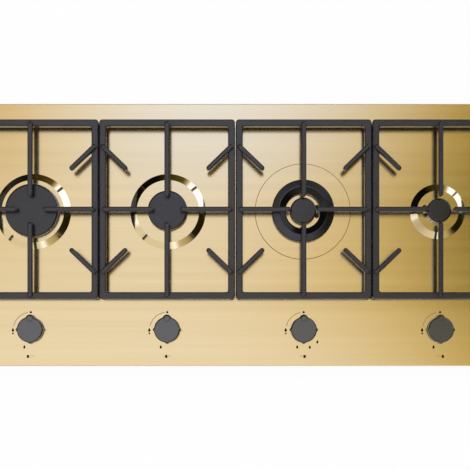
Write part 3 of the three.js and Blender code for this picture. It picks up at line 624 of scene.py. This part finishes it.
zinc_plate = worn_metal(
    "zinc_plated_tube", (0.52, 0.52, 0.50), (0.72, 0.72, 0.69), (0.24, 0.40), 160.0, 5.0, 0.6, 0.15
)
fitting_brass = worn_metal(
    "fitting_brass", (0.60, 0.43, 0.17), (0.78, 0.58, 0.26), (0.24, 0.42), 220.0, 5.0, 0.6, 0.15
)
soft_aluminium = worn_metal(
    "soft_aluminium", (0.68, 0.68, 0.67), (0.82, 0.82, 0.81), (0.28, 0.44), 260.0, 4.0, 0.6, 0.15
)
merged_copy("gas_rail", "rail_tube", zinc_plate, "root", sharp_angle=50)
merged_copy("gas_inlet", "inlet_fitting", fitting_brass, "root", 0.5 * mm, 50)
for run in ("rapid", "semi_rapid", "dual_inner", "dual_outer", "auxiliary"):
    merged_copy(
        f"gas_pipe_{run}", f"pipe_{run}", soft_aluminium, "root", sharp_angle=70
    )


# ---------------------------------------- spark generator and terminal box
# Both are moulded in black plastic. The generator stands on the tray's floor behind the burners,
# and the terminal box holds the mains lead's clamp in its gland.
black_plastic = mottled(
    "black_plastic", (0.016, 0.016, 0.018), (0.030, 0.030, 0.033), 700.0, 3.0,
    gloss=(0.42, 0.58), relief=(0.15, 0.0002),
)
for node, title in (
    ("ignition_generator", "spark_generator"), ("terminal_box", "terminal_housing"),
):
    merged_copy(node, title, black_plastic, "root", 0.6 * mm)


# ---------------------------------------- burner cups
# Cups of pressure-cast aluminium hang from the bezels. Each has a gas port at its front, and its
# rim carries the burner's head.
def eased(corners, closed=True):
    """An outline with rounded corners: each corner is (x, y) or (x, y, rounding)."""
    steps = 4
    outline = []
    count = len(corners)
    for i, corner in enumerate(corners):
        here = Vector(corner[:2])
        if len(corner) < 3 or (not closed and i in (0, count - 1)):
            outline.append(tuple(here))
            continue
        before = Vector(corners[i - 1][:2]) - here
        after = Vector(corners[(i + 1) % count][:2]) - here
        half = before.angle(after) / 2
        reach = min(corner[2] / math.tan(half), 0.49 * before.length, 0.49 * after.length)
        radius = reach * math.tan(half)
        before.normalize()
        after.normalize()
        centre = here + (before + after).normalized() * (reach / math.cos(half))
        start = here + before * reach - centre
        end = here + after * reach - centre
        for step in range(steps + 1):
            toward = start.lerp(end, step / steps).normalized()
            outline.append(tuple(centre + toward * radius))
    return outline


def turned(bm, outline, axis, segments=96):
    """Turns an outline of (radius, height above the sheet) in millimetres about an upright axis."""
    rings = []
    for radius, height in outline:
        count = segments if radius > 1e-4 else 1
        ring = []
        for i in range(count):
            turn = 2 * math.pi * i / segments
            x = axis.x + radius * mm * math.cos(turn)
            y = axis.y + radius * mm * math.sin(turn)
            ring.append(bm.verts.new((x, y, sheet_top + height * mm)))
        rings.append(ring)
    pairs = list(zip(rings, rings[1:]))
    if len(rings[0]) > 1:
        pairs.append((rings[-1], rings[0]))
    for lower, upper in pairs:
        for i in range(segments):
            j = (i + 1) % segments
            below = [lower[i % len(lower)], lower[j % len(lower)]]
            above = [upper[j % len(upper)], upper[i % len(upper)]]
            bm.faces.new(list(dict.fromkeys(below + above)))
    return bm


cast_aluminium = mottled(
    "cast_aluminium", (0.62, 0.62, 0.60), (0.80, 0.80, 0.78), 420.0, 5.0, 0.65,
    gloss=(0.34, 0.52), relief=(0.25, 0.0003), metallic=1.0,
)
# In millimetres: the radii of the head's outer wall, the cap, the cup's neck and wall, the bezel's
# foot and plateau or the plate, and the heights of the cap's rim and crest above the sheet.
burners = {
    "rapid": {
        "head": 52.0, "cap": 51.0, "neck": 35.5, "wall": 33.0, "bezel": 73.2, "plateau": 60.5,
        "rim": 20, "crest": 25.5, "ports": 40,
    },
    "semi_rapid": {
        "head": 37.0, "cap": 38.0, "neck": 24.5, "wall": 22.0, "bezel": 73.2, "plateau": 60.5,
        "rim": 20, "crest": 25.5, "ports": 30,
    },
    "dual": {
        "head": 24.0, "cap": 25.2, "neck": 17.0, "wall": 15.0, "plate": 93.0,
        "rim": 16.6, "crest": 21, "ports": 20,
    },
    "auxiliary": {
        "head": 23.7, "cap": 23.2, "neck": 16.0, "wall": 14.0, "bezel": 53.3, "plateau": 40.2,
        "rim": 20, "crest": 25.5, "ports": 18,
    },
}
gap = 0.3  # between pieces that touch
bezel_rise, bezel_thickness = 7, 1.2
cup_floor, cup_lip = -37, 0.6
port_root, port_reach, port_radius, port_height = 11, 8, 6, -29
for name, burner in burners.items():
    if name == "dual":
        merged_copy(
            "burner_cup_dual", "cup_dual", cast_aluminium, "root", 0.5 * mm, 50
        )
        continue
    axis = burner_axis[name]
    neck, wall = burner["neck"], burner["wall"]
    flange = bezel_rise - bezel_thickness - gap
    lip = bezel_rise + cup_lip
    bm = turned(bmesh.new(), eased([
        (0, cup_floor), (12, cup_floor, 2), (wall, -16, 3), (wall, flange - 2.4),
        (neck + 5, flange - 2.4, 0.4), (neck + 5, flange, 0.4), (neck, flange), (neck, lip, 0.4),
        (neck - 2, lip, 0.4), (wall - 2, -14, 2), (9, cup_floor + 5, 1), (0, cup_floor + 5),
    ], closed=False), axis, 72)
    cup = piece_from(f"cup_{name}", bm, cast_aluminium)
    port = bmesh.new()
    made = bmesh.ops.create_cone(
        port, cap_ends=True, segments=32, radius1=port_radius * mm, radius2=port_radius * mm,
        depth=(wall + port_reach - port_root) * mm,
    )
    bmesh.ops.rotate(port, verts=made["verts"], matrix=Matrix.Rotation(math.pi / 2, 3, "X"))
    forward = (port_root + wall + port_reach) / 2 * mm
    spot = (axis.x, axis.y - forward, sheet_top + port_height * mm)
    bmesh.ops.translate(port, verts=made["verts"], vec=spot)
    boolean(cup, piece_from("port", port, cast_aluminium), "UNION")
    stands_for(smoothed(cup), f"burner_cup_{name}", "root")


# ---------------------------------------- bezels and the dual burner's plate
# Discs pressed from the same brass-coloured steel: a polished cone rises from the sheet to a
# brushed plateau. The dual burner has a thin flat plate instead, a fine seam whose dark rim is
# painted shadow.
cone = (0.90, 0.78, 0.56)
polished_brass = worn_metal(
    "polished_brass", scaled(cone, 0.97), scaled(cone, 1.02), (0.07, 0.12), 60.0, 3.0
)
# The dual plate's rim is painted dark brown: a painted shadow for the narrow gap where the plate's
# edge meets the sheet.
seam_shadow_tone = (0.13, 0.08, 0.03)
seam_painted_shadow = mottled(
    "seam_shadow", scaled(seam_shadow_tone, 0.85), scaled(seam_shadow_tone, 1.15), 300.0,
    metallic=1.0, roughness=0.4,
)
probe_hole = 4.2 * mm
plate_top = 1.5
feed_circle = 46.5 * mm


def probe_holes(name):
    """The ways through a burner's metal for its spark plug and its thermocouple."""
    return [(*middle(f"{probe}_{name}").xy, probe_hole) for probe in ("spark_plug", "thermocouple")]


def feed_holes(radius):
    """The three ways that feed gas to the dual burner's ring."""
    axis = burner_axis["dual"]
    turns = [math.radians(90 + 120 * feed) for feed in range(3)]
    return [
        (axis.x + feed_circle * math.cos(turn), axis.y + feed_circle * math.sin(turn), radius)
        for turn in turns
    ]


for name, burner in burners.items():
    axis = burner_axis[name]
    opening = burner["neck"] + 0.8
    holes = probe_holes(name)
    if name == "dual":
        edge = burner["plate"]
        node, title, slot, rim_finish = "dual_burner_plate", "dual_plate", "brushed_top", seam_painted_shadow
        rim_start = (edge - 1.1) * mm
        holes += feed_holes(6.6 * mm)
        outline = eased([
            (opening, gap), (edge, gap), (edge, 0.9, 0.2), (edge - 0.8, plate_top, 0.3),
            (opening, plate_top, 0.2),
        ])
    else:
        foot, plateau = burner["bezel"], burner["plateau"]
        node, title, slot = f"bezel_{name}", f"disc_{name}", "bezel_polished"
        rim_finish, rim_start = polished_brass, (plateau - 0.2) * mm
        underside = bezel_rise - bezel_thickness
        outline = eased([
            (opening, underside), (plateau - 0.6, underside), (foot - 2, gap), (foot, gap),
            (plateau, bezel_rise, 0.5), (opening, bezel_rise, 0.3),
        ])
    piece = piece_from(title, turned(bmesh.new(), outline, axis, 144), brushed_brass, rim_finish)
    boolean(piece, cylinders("holes", holes, sheet_top - 0.01, sheet_top + 0.02))
    smoothed(piece)
    for face in piece.data.polygons:
        if (face.center.xy - axis.xy).length > rim_start:
            face.material_index = 1
    lay_grain(piece)
    stands_for(piece, node, "root")


# ---------------------------------------- burner heads and the dual burner's ring
# Crowns machined from cast aluminium: a spigot drops into the cup, and the gas leaves through a row
# of narrow flame ports milled through the outer wall.
def flame_port_tree(finish):
    """Mills a row of flame ports through a crown's outer wall."""
    tree = bpy.data.node_groups.new("flame_ports", "GeometryNodeTree")
    for name, way, kind in (
        ("Geometry", "INPUT", "Geometry"), ("Ports", "INPUT", "Int"), ("Radius", "INPUT", "Float"),
        ("Width", "INPUT", "Float"), ("Depth", "INPUT", "Float"), ("Low", "INPUT", "Float"),
        ("High", "INPUT", "Float"), ("Axis", "INPUT", "Vector"), ("Geometry", "OUTPUT", "Geometry"),
    ):
        tree.interface.new_socket(name, in_out=way, socket_type=f"NodeSocket{kind}")
    link = tree.links.new
    given = tree.nodes.new("NodeGroupInput").outputs

    def vector(x, y, z):
        node = tree.nodes.new("ShaderNodeCombineXYZ")
        for socket, value in zip(node.inputs, (x, y, z)):
            socket_or_value(tree, socket, value)
        return node.outputs[0]

    cutter = tree.nodes.new("GeometryNodeMeshCube")
    height = calc(tree, "SUBTRACT", given["High"], given["Low"])
    link(vector(given["Depth"], given["Width"], height), cutter.inputs["Size"])
    moved = tree.nodes.new("GeometryNodeTransform")
    link(cutter.outputs["Mesh"], moved.inputs["Geometry"])
    reach = calc(tree, "SUBTRACT", given["Radius"], calc(tree, "MULTIPLY", given["Depth"], 0.3))
    half_way = calc(tree, "MULTIPLY", calc(tree, "ADD", given["Low"], given["High"]), 0.5)
    link(vector(reach, 0.0, half_way), moved.inputs["Translation"])
    spots = tree.nodes.new("GeometryNodeMeshLine")
    link(given["Ports"], spots.inputs["Count"])
    spots.inputs["Offset"].default_value = (0, 0, 0)
    index = tree.nodes.new("GeometryNodeInputIndex").outputs[0]
    step = calc(tree, "DIVIDE", 2 * math.pi, given["Ports"])
    turn = calc(tree, "MULTIPLY", calc(tree, "ADD", index, 0.5), step)
    ring = tree.nodes.new("GeometryNodeInstanceOnPoints")
    link(spots.outputs["Mesh"], ring.inputs["Points"])
    link(moved.outputs[0], ring.inputs["Instance"])
    link(vector(0.0, 0.0, turn), ring.inputs["Rotation"])
    at_axis = tree.nodes.new("GeometryNodeTransform")
    link(ring.outputs[0], at_axis.inputs["Geometry"])
    link(given["Axis"], at_axis.inputs["Translation"])
    cutters = tree.nodes.new("GeometryNodeRealizeInstances")
    link(at_axis.outputs[0], cutters.inputs["Geometry"])
    milled = tree.nodes.new("GeometryNodeMeshBoolean")
    milled.operation = "DIFFERENCE"
    milled.solver = "EXACT"
    link(given["Geometry"], milled.inputs["Mesh 1"])
    link(cutters.outputs[0], milled.inputs["Mesh 2"])
    whole = tree.nodes.new("GeometryNodeRealizeInstances")
    link(milled.outputs["Mesh"], whole.inputs["Geometry"])
    finished = tree.nodes.new("GeometryNodeSetMaterial")
    finished.inputs["Material"].default_value = finish
    link(whole.outputs[0], finished.inputs["Geometry"])
    link(finished.outputs[0], tree.nodes.new("NodeGroupOutput").inputs[0])
    return tree


def with_nodes(piece, tree, **values):
    """Runs a node tree on a piece and keeps its result as plain mesh."""
    modifier = piece.modifiers.new(tree.name, "NODES")
    modifier.node_group = tree
    for socket in tree.interface.items_tree:
        if socket.in_out == "INPUT" and socket.name in values:
            modifier[socket.identifier] = values[socket.name]
    return settled(piece)


# A dark grey painted on the crowns' outer walls below the rim: painted shade, for walls that stand in
# shadow.
painted_wall_shade = worn_metal(
    "painted_crown_wall_shade", (0.09, 0.08, 0.07), (0.18, 0.17, 0.15), (0.42, 0.58), 260.0, 5.0, 0.6
)
flame_ports = flame_port_tree(cast_aluminium)
port_width, port_depth = 1.8, 9
crown_wall = 4


def mill_crown(crown, axis, ports, radius, low, top, holes):
    """Cuts the flame ports and the ways through a crown: radius, low and top in millimetres."""
    with_nodes(
        crown, flame_ports, Ports=ports, Radius=radius * mm, Width=port_width * mm,
        Depth=port_depth * mm, Low=sheet_top + low * mm, High=sheet_top + (top + 2) * mm,
        Axis=(axis.x, axis.y, 0),
    )
    boolean(crown, cylinders("holes", holes, sheet_top - 0.01, sheet_top + 0.03))
    smoothed(crown)


def paint_wall_shade(piece, axis, radius):
    """Paints the outer wall of a crown, where the flame ports are, dark grey below its bright
    machined rim: painted shade for the wall standing in shadow under the cap.
    """
    piece.data.materials.append(painted_wall_shade)
    for face in piece.data.polygons:
        if abs(face.normal.z) < 0.3 and (face.center.xy - axis.xy).length > (radius - 2) * mm:
            face.material_index = 1


for name, burner in burners.items():
    axis = burner_axis[name]
    head, spigot = burner["head"], burner["neck"] - 3.4
    bore = head - crown_wall
    seat = (plate_top if name == "dual" else bezel_rise) + cup_lip + gap
    top = burner["rim"] - gap
    bm = turned(bmesh.new(), eased([
        (spigot - 2.4, seat - 3, 0.4), (spigot, seat - 3, 0.4), (spigot, seat),
        (head - 2, seat, 0.4), (head, seat + 2, 0.6), (head, top, 0.4), (bore, top, 0.4),
        (bore, seat + 3.4, 1), (spigot - 2.4, seat + 3.4, 0.5),
    ]), axis, 120)
    crown = piece_from(f"crown_{name}", bm, cast_aluminium)
    low = seat + (top - seat) * 0.45
    mill_crown(crown, axis, burner["ports"], head, low, top, probe_holes(name))
    # The crown's outer wall gets the painted shade.
    if name != "auxiliary":
        paint_wall_shade(crown, axis, head)
    stands_for(crown, f"burner_head_{name}", f"head_{name}")
axis = burner_axis["dual"]
ring_bore, ring_radius, ring_top = 35.6, 59.6, 12.7
ring_seat = plate_top + gap
inner_wall, outer_wall = 39, ring_radius - crown_wall
bm = turned(bmesh.new(), eased([
    (ring_bore, ring_seat, 0.4), (ring_radius - 2, ring_seat, 0.4),
    (ring_radius, ring_seat + 2, 0.6), (ring_radius, ring_top, 0.4), (outer_wall, ring_top, 0.4),
    (outer_wall, ring_seat + 3, 1), (inner_wall, ring_seat + 3, 1), (inner_wall, ring_top, 0.4),
    (ring_bore, ring_top, 0.4),
]), axis, 144)
ring = piece_from("crown_ring_dual", bm, cast_aluminium)
mill_crown(ring, axis, 48, ring_radius, 7, ring_top, feed_holes(4.5 * mm))
# The ring's outer wall gets the painted shade.
paint_wall_shade(ring, axis, ring_radius)
stands_for(ring, "burner_ring_dual", "ring_dual")


# ---------------------------------------- burner caps
# Lids of pressed steel under matt black enamel, loose on the crowns. The dual burner's outer lid is
# a ring whose crest stands between a wide outer band and a steep inner slope.
enamel, tree, shader = principled("cap_enamel", (0.005, 0.005, 0.005), specular=0.79)
peel, speck = noise_of(tree, 240.0, 3.0), noise_of(tree, 900.0, 3.0)
tinted(tree, shader, speck, (0.003, 0.003, 0.003), (0.008, 0.008, 0.008))
glossed(tree, shader, peel, 0.21, 0.29)
bumped(tree, shader, peel, 0.10, 0.0003)
centring_depth = 1.6
for name, burner in burners.items():
    cap, rim, crest = burner["cap"], burner["rim"], burner["crest"]
    centring = burner["head"] - crown_wall - gap
    bm = turned(bmesh.new(), eased([
        (0, rim - centring_depth), (centring, rim - centring_depth, 0.3), (centring, rim),
        (cap, rim, 0.5), (cap, crest - 1.4, 1.2), (cap - 2.5, crest - 0.25, 3), (0, crest),
    ], closed=False), burner_axis[name], 128)
    lid = smoothed(piece_from(f"lid_{name}", bm, enamel))
    stands_for(lid, f"burner_cap_{name}", f"cap_{name}")
axis = burner_axis["dual"]
rim = ring_top + gap
lid_bore, lid_radius = 33.9, 60.3
inner_skirt, outer_skirt = inner_wall + gap, outer_wall - gap
bm = turned(bmesh.new(), eased([
    (lid_bore, rim), (lid_bore, rim + 0.4, 0.2), (46.2, 20.4, 1.0), (48.2, 20.2, 1.5),
    (59, 17.4, 1.5), (lid_radius, 16, 0.6), (lid_radius, rim, 0.5), (outer_skirt, rim),
    (outer_skirt, rim - centring_depth, 0.3), (inner_skirt, rim - centring_depth, 0.3),
    (inner_skirt, rim),
]), axis, 160)
# The steep inner slope gets a darker, less reflective enamel than the rest of the lid: painted shade
# for the slope, which lies in shadow.
slope_painted_shade, tree, shader = principled("ring_slope_painted_shade", (0.004, 0.004, 0.004), specular=0.3)
glossed(tree, shader, noise_of(tree, 240.0, 3.0), 0.17, 0.24)
lid = smoothed(piece_from("lid_ring_dual", bm, enamel, slope_painted_shade))
for face in lid.data.polygons:
    toward_axis = (face.center.xy - axis.xy).normalized().dot(face.normal.xy) < -0.3
    face.material_index = 1 if face.normal.z > 0.3 and toward_axis else 0
stands_for(lid, "burner_ring_cap_dual", "ring_cap_dual")


# ---------------------------------------- spark plugs and thermocouples
# A white ceramic rod with a dark steel cap and electrode lights each burner, and a copper-sleeved
# thermocouple with a steel tip watches its flame. Both are clipped up from below.
ceramic = mottled(
    "ceramic", (0.74, 0.70, 0.62), (0.84, 0.82, 0.76), 500.0, 3.0, roughness=0.25
)
electrode_steel = worn_metal(
    "electrode_steel", (0.05, 0.045, 0.04), (0.11, 0.105, 0.10), (0.24, 0.40), 500.0, 3.0
)
copper = worn_metal("probe_copper", (0.15, 0.08, 0.05), (0.26, 0.15, 0.10), (0.22, 0.42), 300.0)
nut_radius, nut_low, nut_high = 5, -9.5, -2.3
for name, burner in burners.items():
    top = burner["rim"] - 2
    for probe, finish, slot, outline in (
        ("spark_plug", ceramic, "ceramic", [
            (0, -24), (3.1, -20, 0.6), (3.1, nut_low), (nut_radius, nut_low, 0.4),
            (nut_radius, nut_high, 0.4), (3.1, nut_high), (3.1, top - 4.2), (3.3, top - 3.4, 0.2),
            (1.2, top - 1.6, 0.4), (1, top, 0.4), (0, top),
        ]),
        ("thermocouple", copper, "probe_metal", [
            (0, -18), (4.6, -11, 0.5), (4.6, nut_high, 0.4), (2.6, nut_high), (2.6, top - 5, 0.5),
            (1.7, top - 4, 0.3), (1.7, top - 0.6, 0.6), (0, top),
        ]),
    ):
        node = f"{probe}_{name}"
        bm = turned(bmesh.new(), eased(outline, closed=False), middle(node), 40)
        piece = smoothed(piece_from(f"{probe}_of_{name}", bm, finish, electrode_steel))
        for face in piece.data.polygons:
            height = (face.center.z - sheet_top) / mm
            steel_nut = probe == "spark_plug" and -10 < height < -2
            face.material_index = 1 if height > top - 3.6 or steel_nut else 0
        stands_for(piece, node, "root")


# ---------------------------------------- pan supports
# One grey-iron casting over each burner, under matt vitreous enamel: a flat frame on four feet,
# four fingers that stand proud of it and reach over the burner, and four short diagonal ones.
cast_iron, tree, shader = principled("cast_iron", (0.016, 0.015, 0.017), specular=0.72)
shader.inputs["Specular Tint"].default_value = (1.0, 0.97, 0.90, 1)
sand = noise_of(tree, 1400.0, 4.0, 0.6)
cloud = noise_of(tree, 60.0, 3.0)
grit = calc(tree, "MULTIPLY_ADD", sand, 0.6, calc(tree, "MULTIPLY", cloud, 0.4))
tinted(tree, shader, grit, (0.011, 0.010, 0.012), (0.021, 0.020, 0.023), 0.35, 0.65)
glossed(tree, shader, cloud, 0.24, 0.33)
bumped(tree, shader, sand, 0.04, 0.0002)
# Sizes of the castings in millimetres, with heights above the sheet.
support_half = Vector((130.1, 173))
support_bar = 13.2
bar_low, bar_top = 18, 38
outer_corner, inner_corner = 6, 4
frame_shift = 0.8  # the frame's middle lies behind the burner's axis
finger_top = 45
finger_tip = 24.5
finger_width, diagonal_width = 9.6, 9.4
end_inset = 4.5
finger_round, end_round, tip_round = 2.2, 4.5, 4.0
finger_draft = 1.1
tip_underside, root_underside = 31, 27
diagonal_tip, diagonal_end = Vector((76.6, 75.6)), Vector((125.8, 123))
diagonal_root = 14
foot_low, foot_high = 1.5, 21.5


def finger(bm, tip, end, width, root, turn=0.0, shift=(0, 0)):
    """A bar with round ends along +X, at millimetre scale: its top edges are rounded, its ends fall
    away in longer curves, its flanks lean in below, and its underside rises to the tip."""
    slope = (tip_underside - root_underside) / (root - tip)
    spin = Matrix.Rotation(turn, 2)
    loops = []
    for level in (None, 0, 18, 36, 54, 72, 90):
        bend = 1 - math.cos(math.radians(level or 0))
        radius = width / 2 - (finger_draft if level is None else finger_round * bend)
        outer_centre = end - end_round * bend - radius
        inner_centre = tip + tip_round * bend + radius
        loop = []
        for centre, first in ((outer_centre, -90), (inner_centre, 90)):
            for step in range(9):
                angle = math.radians(first + 22.5 * step)
                x, y = centre + radius * math.cos(angle), radius * math.sin(angle)
                height = finger_top - finger_round * (1 - math.sin(math.radians(level or 0)))
                if level is None:
                    height = tip_underside - slope * (x - tip)
                loop.append(bm.verts.new((*(spin @ Vector((x, y)) + Vector(shift)), height)))
        loops.append(loop)
    bridged(bm, *loops)
    bm.faces.new(loops[-1])
    bm.faces.new(list(reversed(loops[0])))


bm = bmesh.new()
half_x, half_y = support_half.x, support_half.y - frame_shift
outer = rounded_rectangle(half_x, half_y, outer_corner, 6)
inner = rounded_rectangle(half_x - support_bar, half_y - support_bar, inner_corner, 6)
outer, inner = ([(x, y + frame_shift) for x, y in points] for points in (outer, inner))
sides = ((outer, bar_low), (outer, bar_top), (inner, bar_top), (inner, bar_low))
loops = [loop_of(bm, points, height) for points, height in sides]
bridged(bm, *loops, loops[0])
support = piece_from("support", bm, cast_iron)
smoothed(support, bevel=2.6, steps=5, bevel_angle=60)
bm = bmesh.new()
for quarter in range(4):
    side = support_half.x if quarter % 2 == 0 else support_half.y
    turn = quarter * math.pi / 2
    finger(bm, finger_tip, side - end_inset, finger_width, side - support_bar, turn)
run = diagonal_end - diagonal_tip
lean = math.atan2(run.y, run.x)
for x, y, turn in ((1, 1, lean), (-1, 1, math.pi - lean), (-1, -1, math.pi + lean), (1, -1, -lean)):
    tip = (x * diagonal_tip.x, y * diagonal_tip.y)
    finger(bm, 0, run.length, diagonal_width, run.length - diagonal_root, turn, tip)
boolean(support, piece_from("fingers", bm, cast_iron), "UNION")
smoothed(support, bevel=1.2, steps=2, bevel_angle=50, sharp_angle=60)
bm = bmesh.new()
foot_reach = support_half - Vector((support_bar, support_bar)) / 2
foot_places = [(x * foot_reach.x, y * foot_reach.y) for x in (-1, 1) for y in (-1, 1)]
for x, y in foot_places:
    made = bmesh.ops.create_cone(
        bm, cap_ends=True, segments=32, radius1=4.6, radius2=5.8, depth=foot_high - foot_low
    )
    bmesh.ops.translate(bm, verts=made["verts"], vec=(x, y, (foot_low + foot_high) / 2))
boolean(support, piece_from("feet", bm, cast_iron), "UNION")
smoothed(support, sharp_angle=50)
for name in burner_names:
    mesh = support.data.copy()
    axis = burner_axis[name]
    mesh.transform(Matrix.Translation((axis.x, axis.y, sheet_top)) @ Matrix.Scale(mm, 4))
    casting = bpy.data.objects.new(f"support_casting_{name}", mesh)
    scene.collection.objects.link(casting)
    stands_for(casting, f"pan_support_{name}", f"support_{name}")
bpy.data.objects.remove(support)


# ---------------------------------------- rubber feet
# A black silicone cap is pushed over the end of each of the support's feet, so that the iron never
# touches the brushed sheet.
rubber = mottled(
    "black_rubber", (0.009, 0.009, 0.009), (0.020, 0.020, 0.020), 800.0, roughness=0.8
)
cup_outline = eased([
    (0, 0.05), (5.2, 0.05, 0.6), (5.6, 4.4, 0.5), (5.0, 4.4), (4.7, 1.4), (0, 1.4),
], closed=False)
for name in burner_names:
    bm = bmesh.new()
    for x, y in foot_places:
        turned(bm, cup_outline, burner_axis[name] + Vector((x, y, 0)) * mm, 32)
    feet = smoothed(piece_from(f"rubber_feet_{name}", bm, rubber))
    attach(feet, f"support_{name}")


# ---------------------------------------- taps and their plugs
# Each tap is a hot-pressed brass body bolted to the rail, with a tapered plug that opens the gas
# way as it turns, and a D-shaped steel spindle that slides in the plug when the knob is pressed.
spindle_steel = worn_metal(
    "spindle_steel", (0.52, 0.52, 0.50), (0.66, 0.66, 0.64), (0.22, 0.36), 500.0
)
for name in burner_names:
    for node, title, finish, bevel, body, slot in (
        (f"tap_body_{name}", "tap_casting", fitting_brass, 0.5, "root", "fitting_brass"),
        (f"tap_plug_{name}", "tap_taper", fitting_brass, 0.2, f"tap_{name}", "fitting_brass"),
        (f"spindle_{name}", "spindle_rod", spindle_steel, 0.3, f"control_{name}", "spindle_steel"),
    ):
        merged_copy(node, f"{title}_{name}", finish, body, bevel * mm, 50)


# ---------------------------------------- knobs and spindle seals
# Solid knobs of gunmetal-plated zinc, satin on top with a bevelled edge. A round lobe with a raised
# button points at the setting, and three small points mark the quarters. A rubber ring seals each
# spindle, low enough for the knob to be pressed.
gunmetal_tone = (0.146, 0.148, 0.142)
gunmetal = worn_metal(
    "gunmetal", scaled(gunmetal_tone, 0.90), scaled(gunmetal_tone, 1.10), (0.22, 0.28), 700.0
)
knob_low, knob_top = 4.2, 16.0
knob_radius = 25.0
lobe_radius, lobe_centre = 8.2, 21.3
boss_radius, boss_rise = 5.9, 0.7
point_radius, point_half_width = 27.9, 4.2
spindle_socket, socket_depth = 4.35, 12.8


def knob_outline(inset, samples=240):
    """The knob from above: a circle, a lobe at twelve o'clock and points at three, six and nine."""
    quarter = math.pi / 2
    points = []
    for i in range(samples):
        angle = 2 * math.pi * i / samples
        from_lobe = abs((angle - quarter + math.pi) % (2 * math.pi) - math.pi)
        radius = knob_radius - inset
        offset = lobe_centre * math.sin(from_lobe)
        reach = lobe_radius - inset
        if from_lobe < quarter and abs(offset) < reach:
            lobe = lobe_centre * math.cos(from_lobe) + math.sqrt(reach ** 2 - offset ** 2)
            radius = max(radius, lobe)
        to_point = abs(angle - round(angle / quarter) * quarter) * knob_radius
        if from_lobe > 1 and math.hypot(to_point, 0.6) < point_half_width:
            rise = 1 - math.hypot(to_point, 0.6) / point_half_width
            radius += (point_radius - knob_radius) * rise * max(0.0, 1 - inset / 4)
        points.append((radius * math.cos(angle), radius * math.sin(angle)))
    return points


for name in burner_names:
    axis = knob_axis[name]
    bm = bmesh.new()
    loops = []
    for inset, height in (
        (0.5, knob_low), (0.0, knob_low + 0.5), (0.0, knob_top - 2.2), (0.1, knob_top - 1.9),
        (0.3, knob_top - 1.6), (1.5, knob_top - 0.4), (1.8, knob_top - 0.15), (2.3, knob_top),
    ):
        points = [(axis.x + x * mm, axis.y + y * mm) for x, y in knob_outline(inset)]
        loops.append(loop_of(bm, points, sheet_top + height * mm))
    bridged(bm, *loops)
    bm.faces.new(loops[-1])
    bm.faces.new(list(reversed(loops[0])))
    knob = piece_from(f"control_knob_{name}", bm, gunmetal)
    button = turned(bmesh.new(), eased([
        (0, knob_top - 0.5), (boss_radius, knob_top - 0.5), (boss_radius, knob_top + 0.05, 0.1),
        (boss_radius - 0.8, knob_top + boss_rise, 0.3), (0, knob_top + boss_rise),
    ], closed=False), axis + Vector((0, lobe_centre * mm, 0)), 48)
    boolean(knob, piece_from("button", button, gunmetal), "UNION")
    socket = [(axis.x, axis.y, spindle_socket * mm)]
    boolean(knob, cylinders("socket", socket, sheet_top, sheet_top + socket_depth * mm))
    smoothed(knob)
    stands_for(knob, f"knob_{name}", f"control_{name}")
    bm = turned(bmesh.new(), eased([
        (4.2, 0.05, 0.1), (9.5, 0.05, 0.1), (9.5, 0.5, 0.2), (6.2, 0.95, 0.3), (4.2, 0.95, 0.2),
    ]), axis, 64)
    seal = smoothed(piece_from(f"spindle_seal_{name}", bm, rubber))
    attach(seal, "root")


# ---------------------------------------- finish
size = {"cad": cad_box, "visual": [list(corner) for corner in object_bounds()]}
